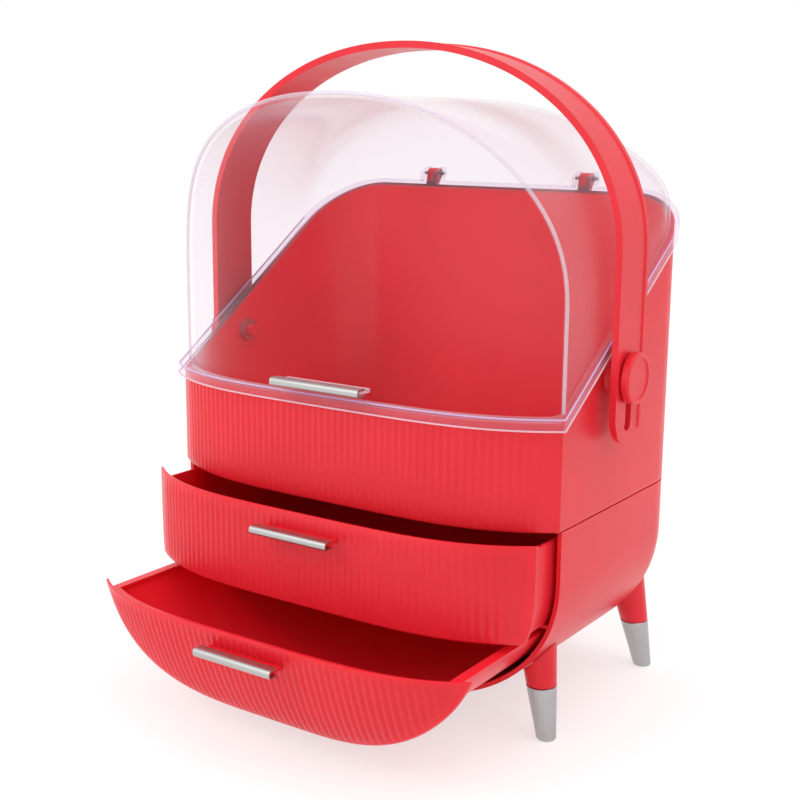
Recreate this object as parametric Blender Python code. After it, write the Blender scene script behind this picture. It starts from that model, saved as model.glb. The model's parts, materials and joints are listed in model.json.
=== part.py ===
"""Makeup organizer: a cabinet with two bowed drawers on four splayed legs, an open tub on top,
a clear domed lid and an arched carry handle.

Lengths are in metres. X is the width, Y the depth with the front at -Y, and Z is up from the floor.
Heights are above the floor. Depths are measured back from the front edge of the cabinet's side walls,
and at the end everything moves together, so that the origin lies under the middle of the whole thing.
"""
import math

import bmesh
import bpy
import numpy as np
from mathutils import Matrix, Vector

MM = 0.001

# Fits
GAP = 0.3 * MM                      # between two pieces that touch
RUNNING_GAP = 0.4 * MM              # under a drawer
OVERRUN = 5 * MM                    # how far a cut goes past what it cuts
WELD = 0.005 * MM                   # points closer than this become one

# Cabinet body, seen from above and from the front
HALF_WIDTH = 135 * MM
BODY_DEPTH = 162 * MM
BACK_CORNER = 40 * MM               # radius of the two back corners, seen from above
CORNER_SHARE = 0.9                  # of the half width, the most that a back corner takes
WALL = 2.5 * MM
HOUSING_BOTTOM = 14 * MM
FLAT_HALF = 24 * MM                 # half of the flat stretch of the bottom
FLANK_HEIGHT = 86 * MM              # how high the bottom's curve runs up the flanks
FLANK_POWER = 2.12                  # 2 would be an ellipse, less is closer to a straight bevel
SIDE_HEIGHT = 29.5 * MM             # of the housing's straight sides, above the flanks

# Bowed fronts of the tub and the drawers, all on one surface when the drawers are shut
FRONT_EDGE = 2.6 * MM               # how far the fronts' ends stand ahead of the side walls
BOW_DEPTH = 27.5 * MM
BOW_POWER = 4
FRONT_WALL = 2.2 * MM
FRONT_RAKE = 31 * MM                # sets how far the lower drawer's front draws back towards its bottom
RAKE_POWER = 1.4
FRONT_CHAMFER = 1.4 * MM            # along the bottom of a drawer's front
FRONT_SIDE_GAP = 0.5 * MM           # a drawer's front stays this far inside the body's width
FRONT_TIP = 1.5 * MM                # height of the thin end of a drawer's front
RIB_PITCH = 4.6 * MM
RIB_DEPTH = 0.6 * MM
RIB_MARGIN = 8 * MM                 # smooth stretch at each end of a ribbed front
RIB_FADE = 3 * MM                   # height over which the ribs start above an edge

# Tub
TUB_HEIGHT = 60.5 * MM              # of the tub's front, above the housing
RIM_SLOPE = 0.68                    # rise of the rim for each unit of depth, along the sides
FLOOR_WALL = 2.5 * MM

# Drawers
UPPER_OPEN = 24 * MM                # how far each drawer stands open
LOWER_OPEN = 74.5 * MM
FRONT_TOP_GAP = 0.5 * MM            # from the upper drawer's front up to the seam
UPPER_BAY = 55.2 * MM               # from the shelf up to the seam
SHELF_THICK = 2 * MM
SHELF_GROOVE = 1 * MM
SHELF_FRONT = 2 * MM
FRONTS_GAP = 2.6 * MM                # between the two drawers' fronts
DRAWER_SIDE_GAP = 3 * MM
DRAWER_BACK_GAP = 5 * MM
DRAWER_WALL = 2 * MM
DRAWER_FRONT_SINK = 1.2 * MM        # how far a drawer's box reaches into its front
DRAWER_FRONT_SKIN = 2.4 * MM        # what the box's hollow leaves of its front
UPPER_BOX_DROP = 5 * MM             # a drawer's box is this much lower than its front
LOWER_BOX_DROP = 2.5 * MM
DRAWER_FLANK_EASE = 8 * MM          # a drawer's flat bottom is this much narrower on each side
DRAWER_LEDGE = 3 * MM               # inward ledge along the top of the lower drawer's sides
DRAWER_LEDGE_THICK = 1.5 * MM

# Pulls: a lip under a bent metal cap
DRAWER_PULL_WIDTH = 54 * MM
LID_PULL_WIDTH = 62 * MM
LIP_THICK = 2.2 * MM
LIP_REACH = 12 * MM
LIP_DROP = 11 * MM                  # lip's middle below the top of a drawer's front
CAP_THICK = 1 * MM
CAP_BEVEL_SHARE = 1 / 3             # of the cap's thickness, left at its front corners
CAP_DEPTH = 6 * MM
CAP_END = 2 * MM                    # the cap passes the lip by this much at each end

# Lid
LID_WALL = 2 * MM
DOME_INSET = 2.5 * MM               # dome's face inside the tub's face
DOME_SIDE = 58 * MM                 # straight height of the dome's front above the rim
DOME_RISE = 110 * MM                # of the dome's arch
DOME_POWER = 2.25
DOME_BACK_REACH = 57 * MM           # depth over which the dome rounds down to the back
DOME_BACK_LEFT = 0.12               # share of the dome's height that is left at its back wall
FLANGE_REACH = 3.5 * MM             # flange and skirt stand this far outside the tub
FLANGE_THICK = 2.5 * MM
SKIRT_DROP = 4 * MM
FLANGE_STEP = 0.2 * MM              # the flange round the back is this much thinner on every side
FLANGE_INNER_STEP = 0.5 * MM        # the flange ends this far outside the dome's inner face
SKIRT_END_GAP = 4 * MM              # the skirt stops this far ahead of the back corners
LID_LIP_RISE = 9 * MM               # of the lid's lip above the front of the rim

# Lid hinges
HINGE_HALF_SPAN = 58 * MM
HINGE_RISE = 7 * MM                 # axis above the back of the rim
HINGE_BACK = 5.5 * MM               # axis behind the back wall
PIN_RADIUS = 1.25 * MM
PIN_LENGTH = 16 * MM
KNUCKLE_WIDTH = 8 * MM
KNUCKLE_RADIUS = 3.4 * MM
KNUCKLE_TURN = 1.3                  # of a half turn that the knuckle's round runs
KNUCKLE_ROOT = 14 * MM              # how far the knuckle runs down the back wall
EAR_THICK = 2.5 * MM
EAR_RADIUS = 4.4 * MM
EAR_FOOT = 6 * MM                   # how far an ear reaches forward into the dome's back wall

# Handle
HANDLE_SIDE_GAP = 7 * MM            # between the tub's sides and the handle
HANDLE_THICK = 4 * MM
HANDLE_WIDTH = 34 * MM
HANDLE_SIDE = 68 * MM               # straight height of the handle above its pivots
HANDLE_RISE = 114 * MM              # of the handle's arch
HANDLE_POWER = 2.06
HANDLE_BORDER = 4 * MM
HANDLE_CHANNEL = 0.8 * MM
PIVOT_RISE = 17 * MM                # of the pivots above the front of the rim
PIVOT_SHARE = 1 / 3                 # of the body's depth
STEM_RADIUS = 3.8 * MM
SLOT_TRAVEL = 26 * MM
SLOT_END = 7 * MM                   # handle left below its slot
KNOB_RADIUS = 14.5 * MM
KNOB_THICK = 5 * MM
KNOB_EDGE = 0.8 * MM
KNOB_DISH = 0.7 * MM
KNOB_RIM = 2.2 * MM
PIVOT_BOSS_RADIUS = 9.5 * MM
PIVOT_BOSS_GAP = 1 * MM             # between the tub's boss and the handle
STEM_INSIDE = 6 * MM                # stem past the tub's wall, on the inside
CLIP_RADIUS = 7 * MM
CLIP_THICK = 3 * MM

# Legs
FOOT_FRONT = 17 * MM
FOOT_BACK_INSET = 15 * MM
SPLAY_X = 0.19                      # sideways run of a leg for each unit of height
SPLAY_Y = 0.1
TIP_LENGTH = 31 * MM
TIP_RADIUS = 5.8 * MM
TIP_ROUND = 1.5 * MM
TIP_ROUND_SHARE = 0.3               # of the rounding, where its middle corner lies
LEG_RADIUS = 8.8 * MM               # where the leg meets its tip
LEG_TAPER = 0.09                    # growth in radius for each unit of length
LEG_LENGTH = 48 * MM
SPIGOT_RADIUS = 4.5 * MM
SPIGOT_LENGTH = 8 * MM
LEG_SEAT_RISE = 6.3 * MM            # from the spigot's top to where a front leg's middle meets the flank

# Screws
SCREW_RADIUS = 1.4 * MM
HEAD_RADIUS = 3 * MM
HEAD_THICK = 1.5 * MM
LEG_SCREW_LENGTH = 9 * MM
LEG_SCREW_LIFT = 0.4 * MM           # extra room under the head, where the housing's wall curves
TUB_SCREW_LENGTH = 7 * MM
TAB_SIZE = 13 * MM
TAB_THICK = 2 * MM
TAB_STEP = 0.3 * MM                 # a tab's top is this far below the seam
TAB_FRONT = 5 * MM                  # depth at which the front tabs start
TAB_BACK_INSET = 10 * MM            # of the back tabs' start ahead of the back corners
BOSS_RADIUS = 3.6 * MM
BOSS_HEIGHT = 4 * MM

# Fineness
CORNER_STEPS = 8
FLANK_STEPS = 9
ARCH_STEPS = 36
FRONT_STEPS = 20
RAKE_STEPS = 9
DOME_BACK_STEPS = 8
ROUND_STEPS = 24
SMALL_STEPS = 16
CURVE_SAMPLES = 400

# Worked out from the sizes above
SKIRT_GAP = RIB_DEPTH + GAP         # the skirt clears the ribs
BODY_INNER_HALF = HALF_WIDTH - WALL
FLANK_TOP = HOUSING_BOTTOM + FLANK_HEIGHT
SEAM = FLANK_TOP + SIDE_HEIGHT       # top of the housing, where the tub stands on it
RIM_FRONT = SEAM + TUB_HEIGHT
UPPER_FRONT_HIGH = SEAM - FRONT_TOP_GAP
SHELF_TOP = SEAM - UPPER_BAY
DOME_SPRING = RIM_FRONT + DOME_SIDE
DOME_TOP = DOME_SPRING + DOME_RISE
DOME_BACK_START = BODY_DEPTH - DOME_BACK_REACH
SKIRT_END = BODY_DEPTH - BACK_CORNER - SKIRT_END_GAP
LID_LIP_HEIGHT = RIM_FRONT + LID_LIP_RISE
HANDLE_HALF = HALF_WIDTH + HANDLE_SIDE_GAP + HANDLE_THICK
HANDLE_DEPTH = BODY_DEPTH * PIVOT_SHARE
PIVOT_HEIGHT = RIM_FRONT + PIVOT_RISE
HANDLE_SPRING = PIVOT_HEIGHT + HANDLE_SIDE
HANDLE_TOP = HANDLE_SPRING + HANDLE_RISE
LEG_SEAT_HEIGHT = TIP_LENGTH + SPIGOT_LENGTH + LEG_SEAT_RISE
FOOT_BACK = BODY_DEPTH - FOOT_BACK_INSET
TAB_BACK = BODY_DEPTH - BACK_CORNER - TAB_BACK_INSET
TUB_BOTTOM = SEAM + GAP
RIM_BACK = RIM_FRONT + RIM_SLOPE * (BODY_DEPTH + FRONT_EDGE)
UPPER_FRONT_LOW = SHELF_TOP
LOWER_FRONT_HIGH = UPPER_FRONT_LOW - FRONTS_GAP
SHELF_BOTTOM = SHELF_TOP - SHELF_THICK
HINGE_DEPTH = BODY_DEPTH + HINGE_BACK
HINGE_HEIGHT = RIM_BACK + HINGE_RISE
HANDLE_INNER = HANDLE_HALF - HANDLE_THICK
SLOT_RADIUS = STEM_RADIUS + GAP
SLOT_LOW = PIVOT_HEIGHT - SLOT_TRAVEL
HANDLE_END_RADIUS = HANDLE_WIDTH / 2
HANDLE_END_CENTRE = SLOT_LOW - SLOT_RADIUS - SLOT_END + HANDLE_END_RADIUS
FRONT_REACH = FRONT_EDGE + BOW_DEPTH + LOWER_OPEN + LIP_REACH + GAP + CAP_THICK
BACK_REACH = max(HINGE_DEPTH + EAR_RADIUS, BODY_DEPTH + FLANGE_REACH)

RED = (0.80, 0.022, 0.035)
DEEP_RED = (0.62, 0.012, 0.022)
CLEAR = (0.93, 0.86, 0.90)
STEEL = (0.72, 0.72, 0.71)
CHROME = (0.80, 0.80, 0.82)
ZINC = (0.55, 0.56, 0.58)


def clear_scene():
    for thing in list(bpy.data.objects):
        bpy.data.objects.remove(thing)


def material(name, colour, roughness, metallic=0, transmission=0):
    found = bpy.data.materials.get(name)
    if found:
        return found
    made = bpy.data.materials.new(name)
    made.use_nodes = True
    shader = made.node_tree.nodes["Principled BSDF"]
    shader.inputs["Base Color"].default_value = (*colour, 1)
    shader.inputs["Roughness"].default_value = roughness
    shader.inputs["Metallic"].default_value = metallic
    shader.inputs["Transmission Weight"].default_value = transmission
    made.diffuse_color = (*colour, 1)
    return made


def red_plastic():
    return material("red_plastic", RED, 0.35)


def drawer_plastic():
    return material("drawer_plastic", DEEP_RED, 0.38)


def clear_plastic():
    return material("clear_plastic", CLEAR, 0.04, transmission=0.9)


def satin_steel():
    return material("satin_steel", STEEL, 0.32, metallic=1)


def chrome():
    return material("chrome", CHROME, 0.16, metallic=1)


def zinc():
    return material("zinc", ZINC, 0.4, metallic=1)


def closed_body(name, shape):
    """An object from a closed surface, in triangles and facing outward."""
    shape.normal_update()
    bmesh.ops.recalc_face_normals(shape, faces=shape.faces)
    bmesh.ops.triangulate(shape, faces=shape.faces)
    mesh = bpy.data.meshes.new(name)
    shape.to_mesh(mesh)
    shape.free()
    body = bpy.data.objects.new(name, mesh)
    bpy.context.collection.objects.link(body)
    return body


def loop_solid(name, loops):
    """A closed body through a row of closed loops with as many points each, capped at both ends."""
    shape = bmesh.new()
    rings = [[shape.verts.new(point) for point in loop] for loop in loops]
    for here, there in zip(rings, rings[1:]):
        for k in range(len(here)):
            after = (k + 1) % len(here)
            shape.faces.new((here[k], here[after], there[after], there[k]))
    shape.faces.new(rings[0])
    shape.faces.new(rings[-1])
    return closed_body(name, shape)


def prism_x(name, profile, low, high):
    """A depth and height outline, drawn out sideways."""
    return loop_solid(name, [[(x, y, z) for y, z in profile] for x in (low, high)])


def box(name, low, high):
    (x0, y0, z0), (x1, y1, z1) = low, high
    return prism_x(name, [(y0, z0), (y1, z0), (y1, z1), (y0, z1)], x0, x1)


def turned(name, origin, direction, stations, steps=ROUND_STEPS):
    """A turned body: stations are a distance along the direction and the radius there."""
    along = Vector(direction).normalized()
    across = along.orthogonal().normalized()
    third = along.cross(across)
    loops = []
    for distance, radius in stations:
        centre = Vector(origin) + along * distance
        loops.append([centre + (across * math.cos(turn) + third * math.sin(turn)) * radius
                      for turn in (math.tau * k / steps for k in range(steps))])
    return loop_solid(name, loops)


def weld(body):
    """Joins points that a cut left on top of each other."""
    shape = bmesh.new()
    shape.from_mesh(body.data)
    bmesh.ops.triangulate(shape, faces=shape.faces)
    bmesh.ops.remove_doubles(shape, verts=shape.verts, dist=WELD)
    bmesh.ops.dissolve_degenerate(shape, edges=shape.edges, dist=WELD)
    shape.to_mesh(body.data)
    shape.free()


def combine(body, other, operation):
    """Joins, cuts or intersects a body with another, which is used up."""
    modifier = body.modifiers.new("combine", "BOOLEAN")
    modifier.operation = operation
    modifier.solver = "EXACT"
    modifier.object = other
    depsgraph = bpy.context.evaluated_depsgraph_get()
    mesh = bpy.data.meshes.new_from_object(body.evaluated_get(depsgraph))
    body.modifiers.clear()
    body.data = mesh
    bpy.data.objects.remove(other)
    weld(body)


def join(body, other):
    combine(body, other, "UNION")


def cut(body, other):
    combine(body, other, "DIFFERENCE")


def finish(body, finish_material, smooth_angle=math.radians(35)):
    body.data.materials.clear()
    body.data.materials.append(finish_material)
    body.data.name = body.name
    body.data.shade_smooth()
    body.data.set_sharp_from_angle(angle=smooth_angle)
    return body


def front_depth(x, offset=0):
    """Depth of the bowed front at a width, drawn outward by an offset."""
    share = np.minimum(np.abs(x) / (HALF_WIDTH + offset), 1)
    return -(FRONT_EDGE + offset) - BOW_DEPTH * (1 - share ** BOW_POWER)


def rake_curve(height):
    """How far the body's front foot has drawn forward at a height below the flanks' top."""
    share = min(max((FLANK_TOP - height) / FLANK_HEIGHT, 0), 1)
    return FRONT_RAKE * (1 - share ** RAKE_POWER) ** (1 / RAKE_POWER)


def front_rake(height):
    """How far the lower drawer's front has drawn back at a height; nothing above its top."""
    return max(rake_curve(LOWER_FRONT_HIGH) - rake_curve(height), 0)


def centre_shift():
    """Moves the middle of the overall box onto the origin."""
    reach = FRONT_REACH - front_rake(LOWER_FRONT_HIGH - LIP_DROP)
    return (reach - BACK_REACH) / 2


def front_line(half, offset=0, steps=FRONT_STEPS):
    """Points along the smooth front, from the right end to the left."""
    widths = half * np.cos(np.linspace(0, math.pi, steps + 1))
    return [(float(x), float(front_depth(x, offset))) for x in widths]


def rib_columns(half):
    """Widths across a ribbed front from the right end to the left, and how far out each one stands."""
    ribbed = half - RIB_MARGIN
    count = max(2, round(2 * ribbed / RIB_PITCH))
    margin = np.linspace(half, ribbed, 4)[:-1]
    widths = np.concatenate([margin, np.linspace(ribbed, -ribbed, 2 * count + 1), -margin[::-1]])
    out = np.zeros(len(widths))
    out[len(margin) + 1:len(widths) - len(margin):2] = RIB_DEPTH
    return widths, out


def back_line(half, back, radius, front=None):
    """Points round the back, from the left side to the right side."""
    points = []
    across = min(radius, half * CORNER_SHARE)
    for side, first in ((-1, 180), (1, 90)):
        for k in range(CORNER_STEPS + 1):
            turn = math.radians(first - 90 * k / CORNER_STEPS)
            points.append((side * (half - across) + across * math.cos(turn),
                           back - radius + radius * math.sin(turn)))
    if front is None:
        return points
    return [(-half, front), *points, (half, front)]


def rim_height(y):
    return RIM_FRONT + RIM_SLOPE * max(0, y + FRONT_EDGE)


def at_height(outline, height):
    return [(x, y, height) for x, y in outline]


def on_rim(outline, rise=0):
    return [(x, y, rim_height(y) + rise) for x, y in outline]


def flank_curve(half, flat, low, top=FLANK_TOP):
    """Half widths and heights down a flank, from the vertical side to the flat bottom."""
    curve = []
    for k in range(FLANK_STEPS + 1):
        turn = math.pi / 2 * k / FLANK_STEPS
        curve.append((flat + (half - flat) * max(math.cos(turn), 0) ** (2 / FLANK_POWER),
                      top - (top - low) * max(math.sin(turn), 0) ** (2 / FLANK_POWER)))
    return curve


def flank_half(height, half=HALF_WIDTH, flat=FLAT_HALF, low=HOUSING_BOTTOM):
    """Half width of the flank's curve at a height."""
    share = min(max((FLANK_TOP - height) / (FLANK_TOP - low), 0), 1)
    return flat + (half - flat) * (1 - share ** FLANK_POWER) ** (1 / FLANK_POWER)


def flank_low(x, half=HALF_WIDTH, flat=FLAT_HALF, low=HOUSING_BOTTOM):
    """Height of the flank's curve at a width."""
    share = min(max((abs(x) - flat) / (half - flat), 0), 1)
    return FLANK_TOP - (FLANK_TOP - low) * (1 - share ** FLANK_POWER) ** (1 / FLANK_POWER)


def flank_normal(x):
    """Outward direction of the housing's flank at a width, on the right side, as width and height."""
    across = (x - FLAT_HALF) / (HALF_WIDTH - FLAT_HALF)
    down = (FLANK_TOP - flank_low(x)) / FLANK_HEIGHT
    return Vector((across ** (FLANK_POWER - 1) / (HALF_WIDTH - FLAT_HALF), 0,
                   -down ** (FLANK_POWER - 1) / FLANK_HEIGHT)).normalized()


def housing_solid(name, offset, front, top):
    """The housing's shape drawn outward by an offset, from a depth and up to a height."""
    half = HALF_WIDTH + offset
    levels = [*reversed(flank_curve(half, FLAT_HALF, HOUSING_BOTTOM - offset)), (half, top)]
    radius = BACK_CORNER + offset
    return loop_solid(name, [at_height(back_line(width, BODY_DEPTH + offset, radius, front), height)
                             for width, height in levels])


def leg_centre(foot_x, foot_y, lean, height):
    return foot_x * (1 - SPLAY_X * height / abs(foot_x)), foot_y + lean * SPLAY_Y * height


def leg_solid(name, leg, stations):
    """A leaning round body: stations are a height and the radius there."""
    loops = []
    for height, radius in stations:
        x, y = leg_centre(*leg, height)
        loops.append([(x + radius * math.cos(turn), y + radius * math.sin(turn), height)
                      for turn in (math.tau * k / ROUND_STEPS for k in range(ROUND_STEPS))])
    return loop_solid(name, loops)


def foot_half():
    """How far the feet's middles stand to the sides, so that the front legs meet the flank at their height."""
    return flank_half(LEG_SEAT_HEIGHT) + SPLAY_X * LEG_SEAT_HEIGHT


def legs():
    """Each leg's name, and its foot's width and depth and which way it leans in depth."""
    return [(f"{place}_{side}", (sign * foot_half(), depth, lean))
            for place, depth, lean in (("front", FOOT_FRONT, 1), ("back", FOOT_BACK, -1))
            for side, sign in (("right", 1), ("left", -1))]


def corner_inset(y):
    """How far the back corner has turned inward at a depth, and its slope there."""
    beyond = max(y - (BODY_DEPTH - BACK_CORNER), 0)
    along = math.sqrt(BACK_CORNER ** 2 - beyond ** 2)
    return BACK_CORNER - along, beyond / along


def leg_joint(leg):
    """Where a leg's middle line meets the housing's flank, and the flank's outward direction there."""
    height = FLANK_TOP
    for _ in range(CURVE_SAMPLES):
        x, y = leg_centre(*leg, height)
        inset, slope = corner_inset(y)
        height = flank_low(abs(x) + inset)
    outward = flank_normal(abs(x) + inset)
    outward.y = outward.x * slope
    outward.x = math.copysign(outward.x, x)
    return Vector((x, y, height)), outward.normalized()


def leg_screw_hole(leg):
    point, outward = leg_joint(leg)
    start = point - outward * (WALL + OVERRUN)
    reach = WALL + OVERRUN + LEG_SCREW_LENGTH
    return turned("hole", start, outward, [(0, SCREW_RADIUS + GAP), (reach, SCREW_RADIUS + GAP)],
                  SMALL_STEPS)


def tab_corners():
    """Lowest width and depth of each of the four tabs inside the top of the housing."""
    right = BODY_INNER_HALF - TAB_SIZE
    return [(x, y) for y in (TAB_FRONT, TAB_BACK) for x in (right, -right - TAB_SIZE)]


def tab_centres():
    return [(x + TAB_SIZE / 2, y + TAB_SIZE / 2) for x, y in tab_corners()]


def make_housing():
    body = housing_solid("lower_housing", 0, 0, SEAM)
    cut(body, housing_solid("hollow", -WALL, -OVERRUN, SEAM + OVERRUN))
    groove = SHELF_GROOVE + GAP
    cut(body, shelf_solid("groove", groove - WALL, -OVERRUN, GAP))
    for x, y in tab_corners():
        lap = math.copysign(SHELF_GROOVE, x)
        tab = box("tab", (x + min(lap, 0), y, SEAM - TAB_STEP - TAB_THICK),
                  (x + TAB_SIZE + max(lap, 0), y + TAB_SIZE, SEAM - TAB_STEP))
        join(body, tab)
    for x, y in tab_centres():
        cut(body, turned("hole", (x, y, SEAM - OVERRUN), (0, 0, 1),
                         [(0, SCREW_RADIUS + GAP), (2 * OVERRUN, SCREW_RADIUS + GAP)], SMALL_STEPS))
    for _, leg in legs():
        cut(body, leg_screw_hole(leg))
    return finish(body, red_plastic())


def shelf_solid(name, offset, front, play=0):
    """The plate between the drawers, drawn outward by an offset and thickened by some play."""
    loops = []
    for height in (SHELF_BOTTOM - play, SHELF_TOP + play):
        half = flank_half(height) + offset
        loops.append(at_height(back_line(half, BODY_DEPTH + offset, BACK_CORNER + offset, front), height))
    return loop_solid(name, loops)


def make_shelf():
    body = shelf_solid("drawer_shelf", SHELF_GROOVE - WALL, SHELF_FRONT)
    return finish(body, red_plastic())


def tub_loop(height, offset=0, ribbed=False):
    """A loop of the tub at a height, or on the rim when the height is None."""
    widths, out = rib_columns(HALF_WIDTH)
    scale = (HALF_WIDTH + offset) / HALF_WIDTH
    front = [(float(x * scale), float(front_depth(x * scale, offset) - (rib if ribbed else 0)))
             for x, rib in zip(widths, out)]
    outline = front + back_line(HALF_WIDTH + offset, BODY_DEPTH + offset, BACK_CORNER + offset)
    return on_rim(outline) if height is None else at_height(outline, height)


def pivot_hole():
    return turned("hole", (-HANDLE_HALF, HANDLE_DEPTH, PIVOT_HEIGHT), (1, 0, 0),
                  [(0, STEM_RADIUS + GAP), (2 * HANDLE_HALF, STEM_RADIUS + GAP)])


def knuckle_outline():
    """The knuckle and its root down the back wall, as depths and heights."""
    wall = BODY_DEPTH - WALL / 2
    arc = [(HINGE_DEPTH + KNUCKLE_RADIUS * math.cos(turn), HINGE_HEIGHT + KNUCKLE_RADIUS * math.sin(turn))
           for turn in (math.pi * (1 - KNUCKLE_TURN * k / SMALL_STEPS) for k in range(SMALL_STEPS + 1))]
    return [(wall, HINGE_HEIGHT - KNUCKLE_ROOT), (wall, RIM_BACK - WALL), (BODY_DEPTH + GAP, RIM_BACK), *arc]


def pin_hole():
    reach = HINGE_HALF_SPAN + PIN_LENGTH
    return turned("hole", (-reach, HINGE_DEPTH, HINGE_HEIGHT), (1, 0, 0),
                  [(0, PIN_RADIUS + GAP), (2 * reach, PIN_RADIUS + GAP)], SMALL_STEPS)


def make_tub():
    fade = TUB_BOTTOM + RIB_FADE
    body = loop_solid("upper_tub", [
        tub_loop(TUB_BOTTOM), tub_loop(fade, ribbed=True), tub_loop(RIM_FRONT - RIB_FADE, ribbed=True),
        tub_loop(None), tub_loop(None, -WALL), tub_loop(TUB_BOTTOM + FLOOR_WALL, -WALL)])
    for side in (-1, 1):
        start = (side * (HALF_WIDTH - WALL / 2), HANDLE_DEPTH, PIVOT_HEIGHT)
        reach = HANDLE_INNER - PIVOT_BOSS_GAP - HALF_WIDTH + WALL / 2
        join(body, turned("boss", start, (side, 0, 0), [(0, PIVOT_BOSS_RADIUS), (reach, PIVOT_BOSS_RADIUS)]))
        middle = side * HINGE_HALF_SPAN
        join(body, prism_x("knuckle", knuckle_outline(), middle - KNUCKLE_WIDTH / 2,
                           middle + KNUCKLE_WIDTH / 2))
    for x, y in tab_centres():
        join(body, turned("boss", (x, y, TUB_BOTTOM + FLOOR_WALL / 2), (0, 0, 1),
                          [(0, BOSS_RADIUS), (FLOOR_WALL / 2 + BOSS_HEIGHT, BOSS_RADIUS)], SMALL_STEPS))
    cut(body, pivot_hole())
    cut(body, pin_hole())
    screw_top = SEAM - TAB_STEP - TAB_THICK + TUB_SCREW_LENGTH
    for x, y in tab_centres():
        cut(body, turned("hole", (x, y, SEAM - OVERRUN), (0, 0, 1),
                         [(0, SCREW_RADIUS + GAP), (screw_top - SEAM + OVERRUN, SCREW_RADIUS + GAP)],
                         SMALL_STEPS))
    return finish(body, red_plastic())


def make_leg(name, leg):
    point, _ = leg_joint(leg)
    cone = leg_solid(f"leg_cone_{name}", leg, [(TIP_LENGTH, LEG_RADIUS),
                                               (TIP_LENGTH + LEG_LENGTH, LEG_RADIUS + LEG_TAPER * LEG_LENGTH)])
    cut(cone, housing_solid("seat", GAP, 0, SEAM))
    cut(cone, leg_solid("socket", leg, [(TIP_LENGTH - OVERRUN, SPIGOT_RADIUS + GAP),
                                        (TIP_LENGTH + SPIGOT_LENGTH + GAP, SPIGOT_RADIUS + GAP)]))
    cut(cone, leg_screw_hole(leg))
    tip = leg_solid(f"leg_tip_{name}", leg, [
        (0, TIP_RADIUS - TIP_ROUND),
        (TIP_ROUND * TIP_ROUND_SHARE, TIP_RADIUS - TIP_ROUND * TIP_ROUND_SHARE), (TIP_ROUND, TIP_RADIUS),
        (TIP_LENGTH - GAP, LEG_RADIUS), (TIP_LENGTH - GAP, SPIGOT_RADIUS),
        (TIP_LENGTH + SPIGOT_LENGTH, SPIGOT_RADIUS)])
    return [finish(cone, red_plastic()), finish(tip, chrome())]


def make_screw(name, origin, direction, length):
    body = turned(name, origin, direction, [
        (0, HEAD_RADIUS), (HEAD_THICK, HEAD_RADIUS), (HEAD_THICK, SCREW_RADIUS),
        (HEAD_THICK + length, SCREW_RADIUS)], SMALL_STEPS)
    return finish(body, zinc())


def make_leg_screw(name, leg):
    point, outward = leg_joint(leg)
    origin = point - outward * (WALL + GAP + LEG_SCREW_LIFT + HEAD_THICK)
    return make_screw(f"leg_screw_{name}", origin, outward, LEG_SCREW_LENGTH)


def make_tub_screws():
    height = SEAM - TAB_STEP - TAB_THICK - GAP - HEAD_THICK
    return [make_screw(f"tub_screw_{k + 1}", (x, y, height), (0, 0, 1), TUB_SCREW_LENGTH)
            for k, (x, y) in enumerate(tab_centres())]


def drawer_front(name, low, high):
    """A ribbed front whose bottom follows the housing's flank, between a lowest and a top height."""
    tip = max(high - FRONT_TIP, HOUSING_BOTTOM)
    half = flank_half(tip) - FRONT_SIDE_GAP
    widths, out = rib_columns(half)
    loops = []
    for x, rib in zip(map(float, widths), map(float, out)):
        edge = float(front_depth(x))
        bottom = max(low, min(flank_low(abs(x) + FRONT_SIDE_GAP), tip))
        chamfer = min(FRONT_CHAMFER, (high - bottom) / 2)
        room = high - bottom - chamfer
        levels = [high - room * math.sin(math.pi / 2 * k / RAKE_STEPS) for k in range(RAKE_STEPS + 1)]
        face = [(x, edge - rib + front_rake(level), level) for level in levels]
        behind = [(x, edge + FRONT_WALL + front_rake(level), level) for level in reversed(levels)]
        foot = edge + front_rake(bottom)
        loops.append([*face, (x, foot + chamfer, bottom), (x, foot + FRONT_WALL, bottom), *behind])
    return loop_solid(name, loops)


def drawer_loop(half, height, inset, front):
    """A loop of a drawer's box, its back and corners drawn inward and its front a distance behind the bow."""
    back = BODY_DEPTH - WALL - DRAWER_BACK_GAP - inset
    radius = BACK_CORNER - WALL - DRAWER_BACK_GAP - inset
    drawn = front + front_rake(height - inset)
    line = [(x, y + drawn) for x, y in front_line(half)]
    return at_height(line + back_line(half, back, radius), height)


def drawer_levels(low, high, inset):
    """Half widths and heights up a drawer's side, from its flat bottom."""
    half = BODY_INNER_HALF - DRAWER_SIDE_GAP
    flat = FLAT_HALF - DRAWER_FLANK_EASE
    curve = [(width - inset, height + inset * (FLANK_TOP - height) / (FLANK_TOP - floor_height()))
             for width, height in reversed(flank_curve(half, flat, floor_height()))]
    start = half_between(curve, low)
    inside = [(width, height) for width, height in curve if low < height < high]
    return [(start, low), *inside, (half_between(curve, high), high)]


def half_between(curve, height):
    return float(np.interp(height, [level for _, level in curve], [width for width, _ in curve]))


def floor_height():
    return HOUSING_BOTTOM + WALL + RUNNING_GAP


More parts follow.
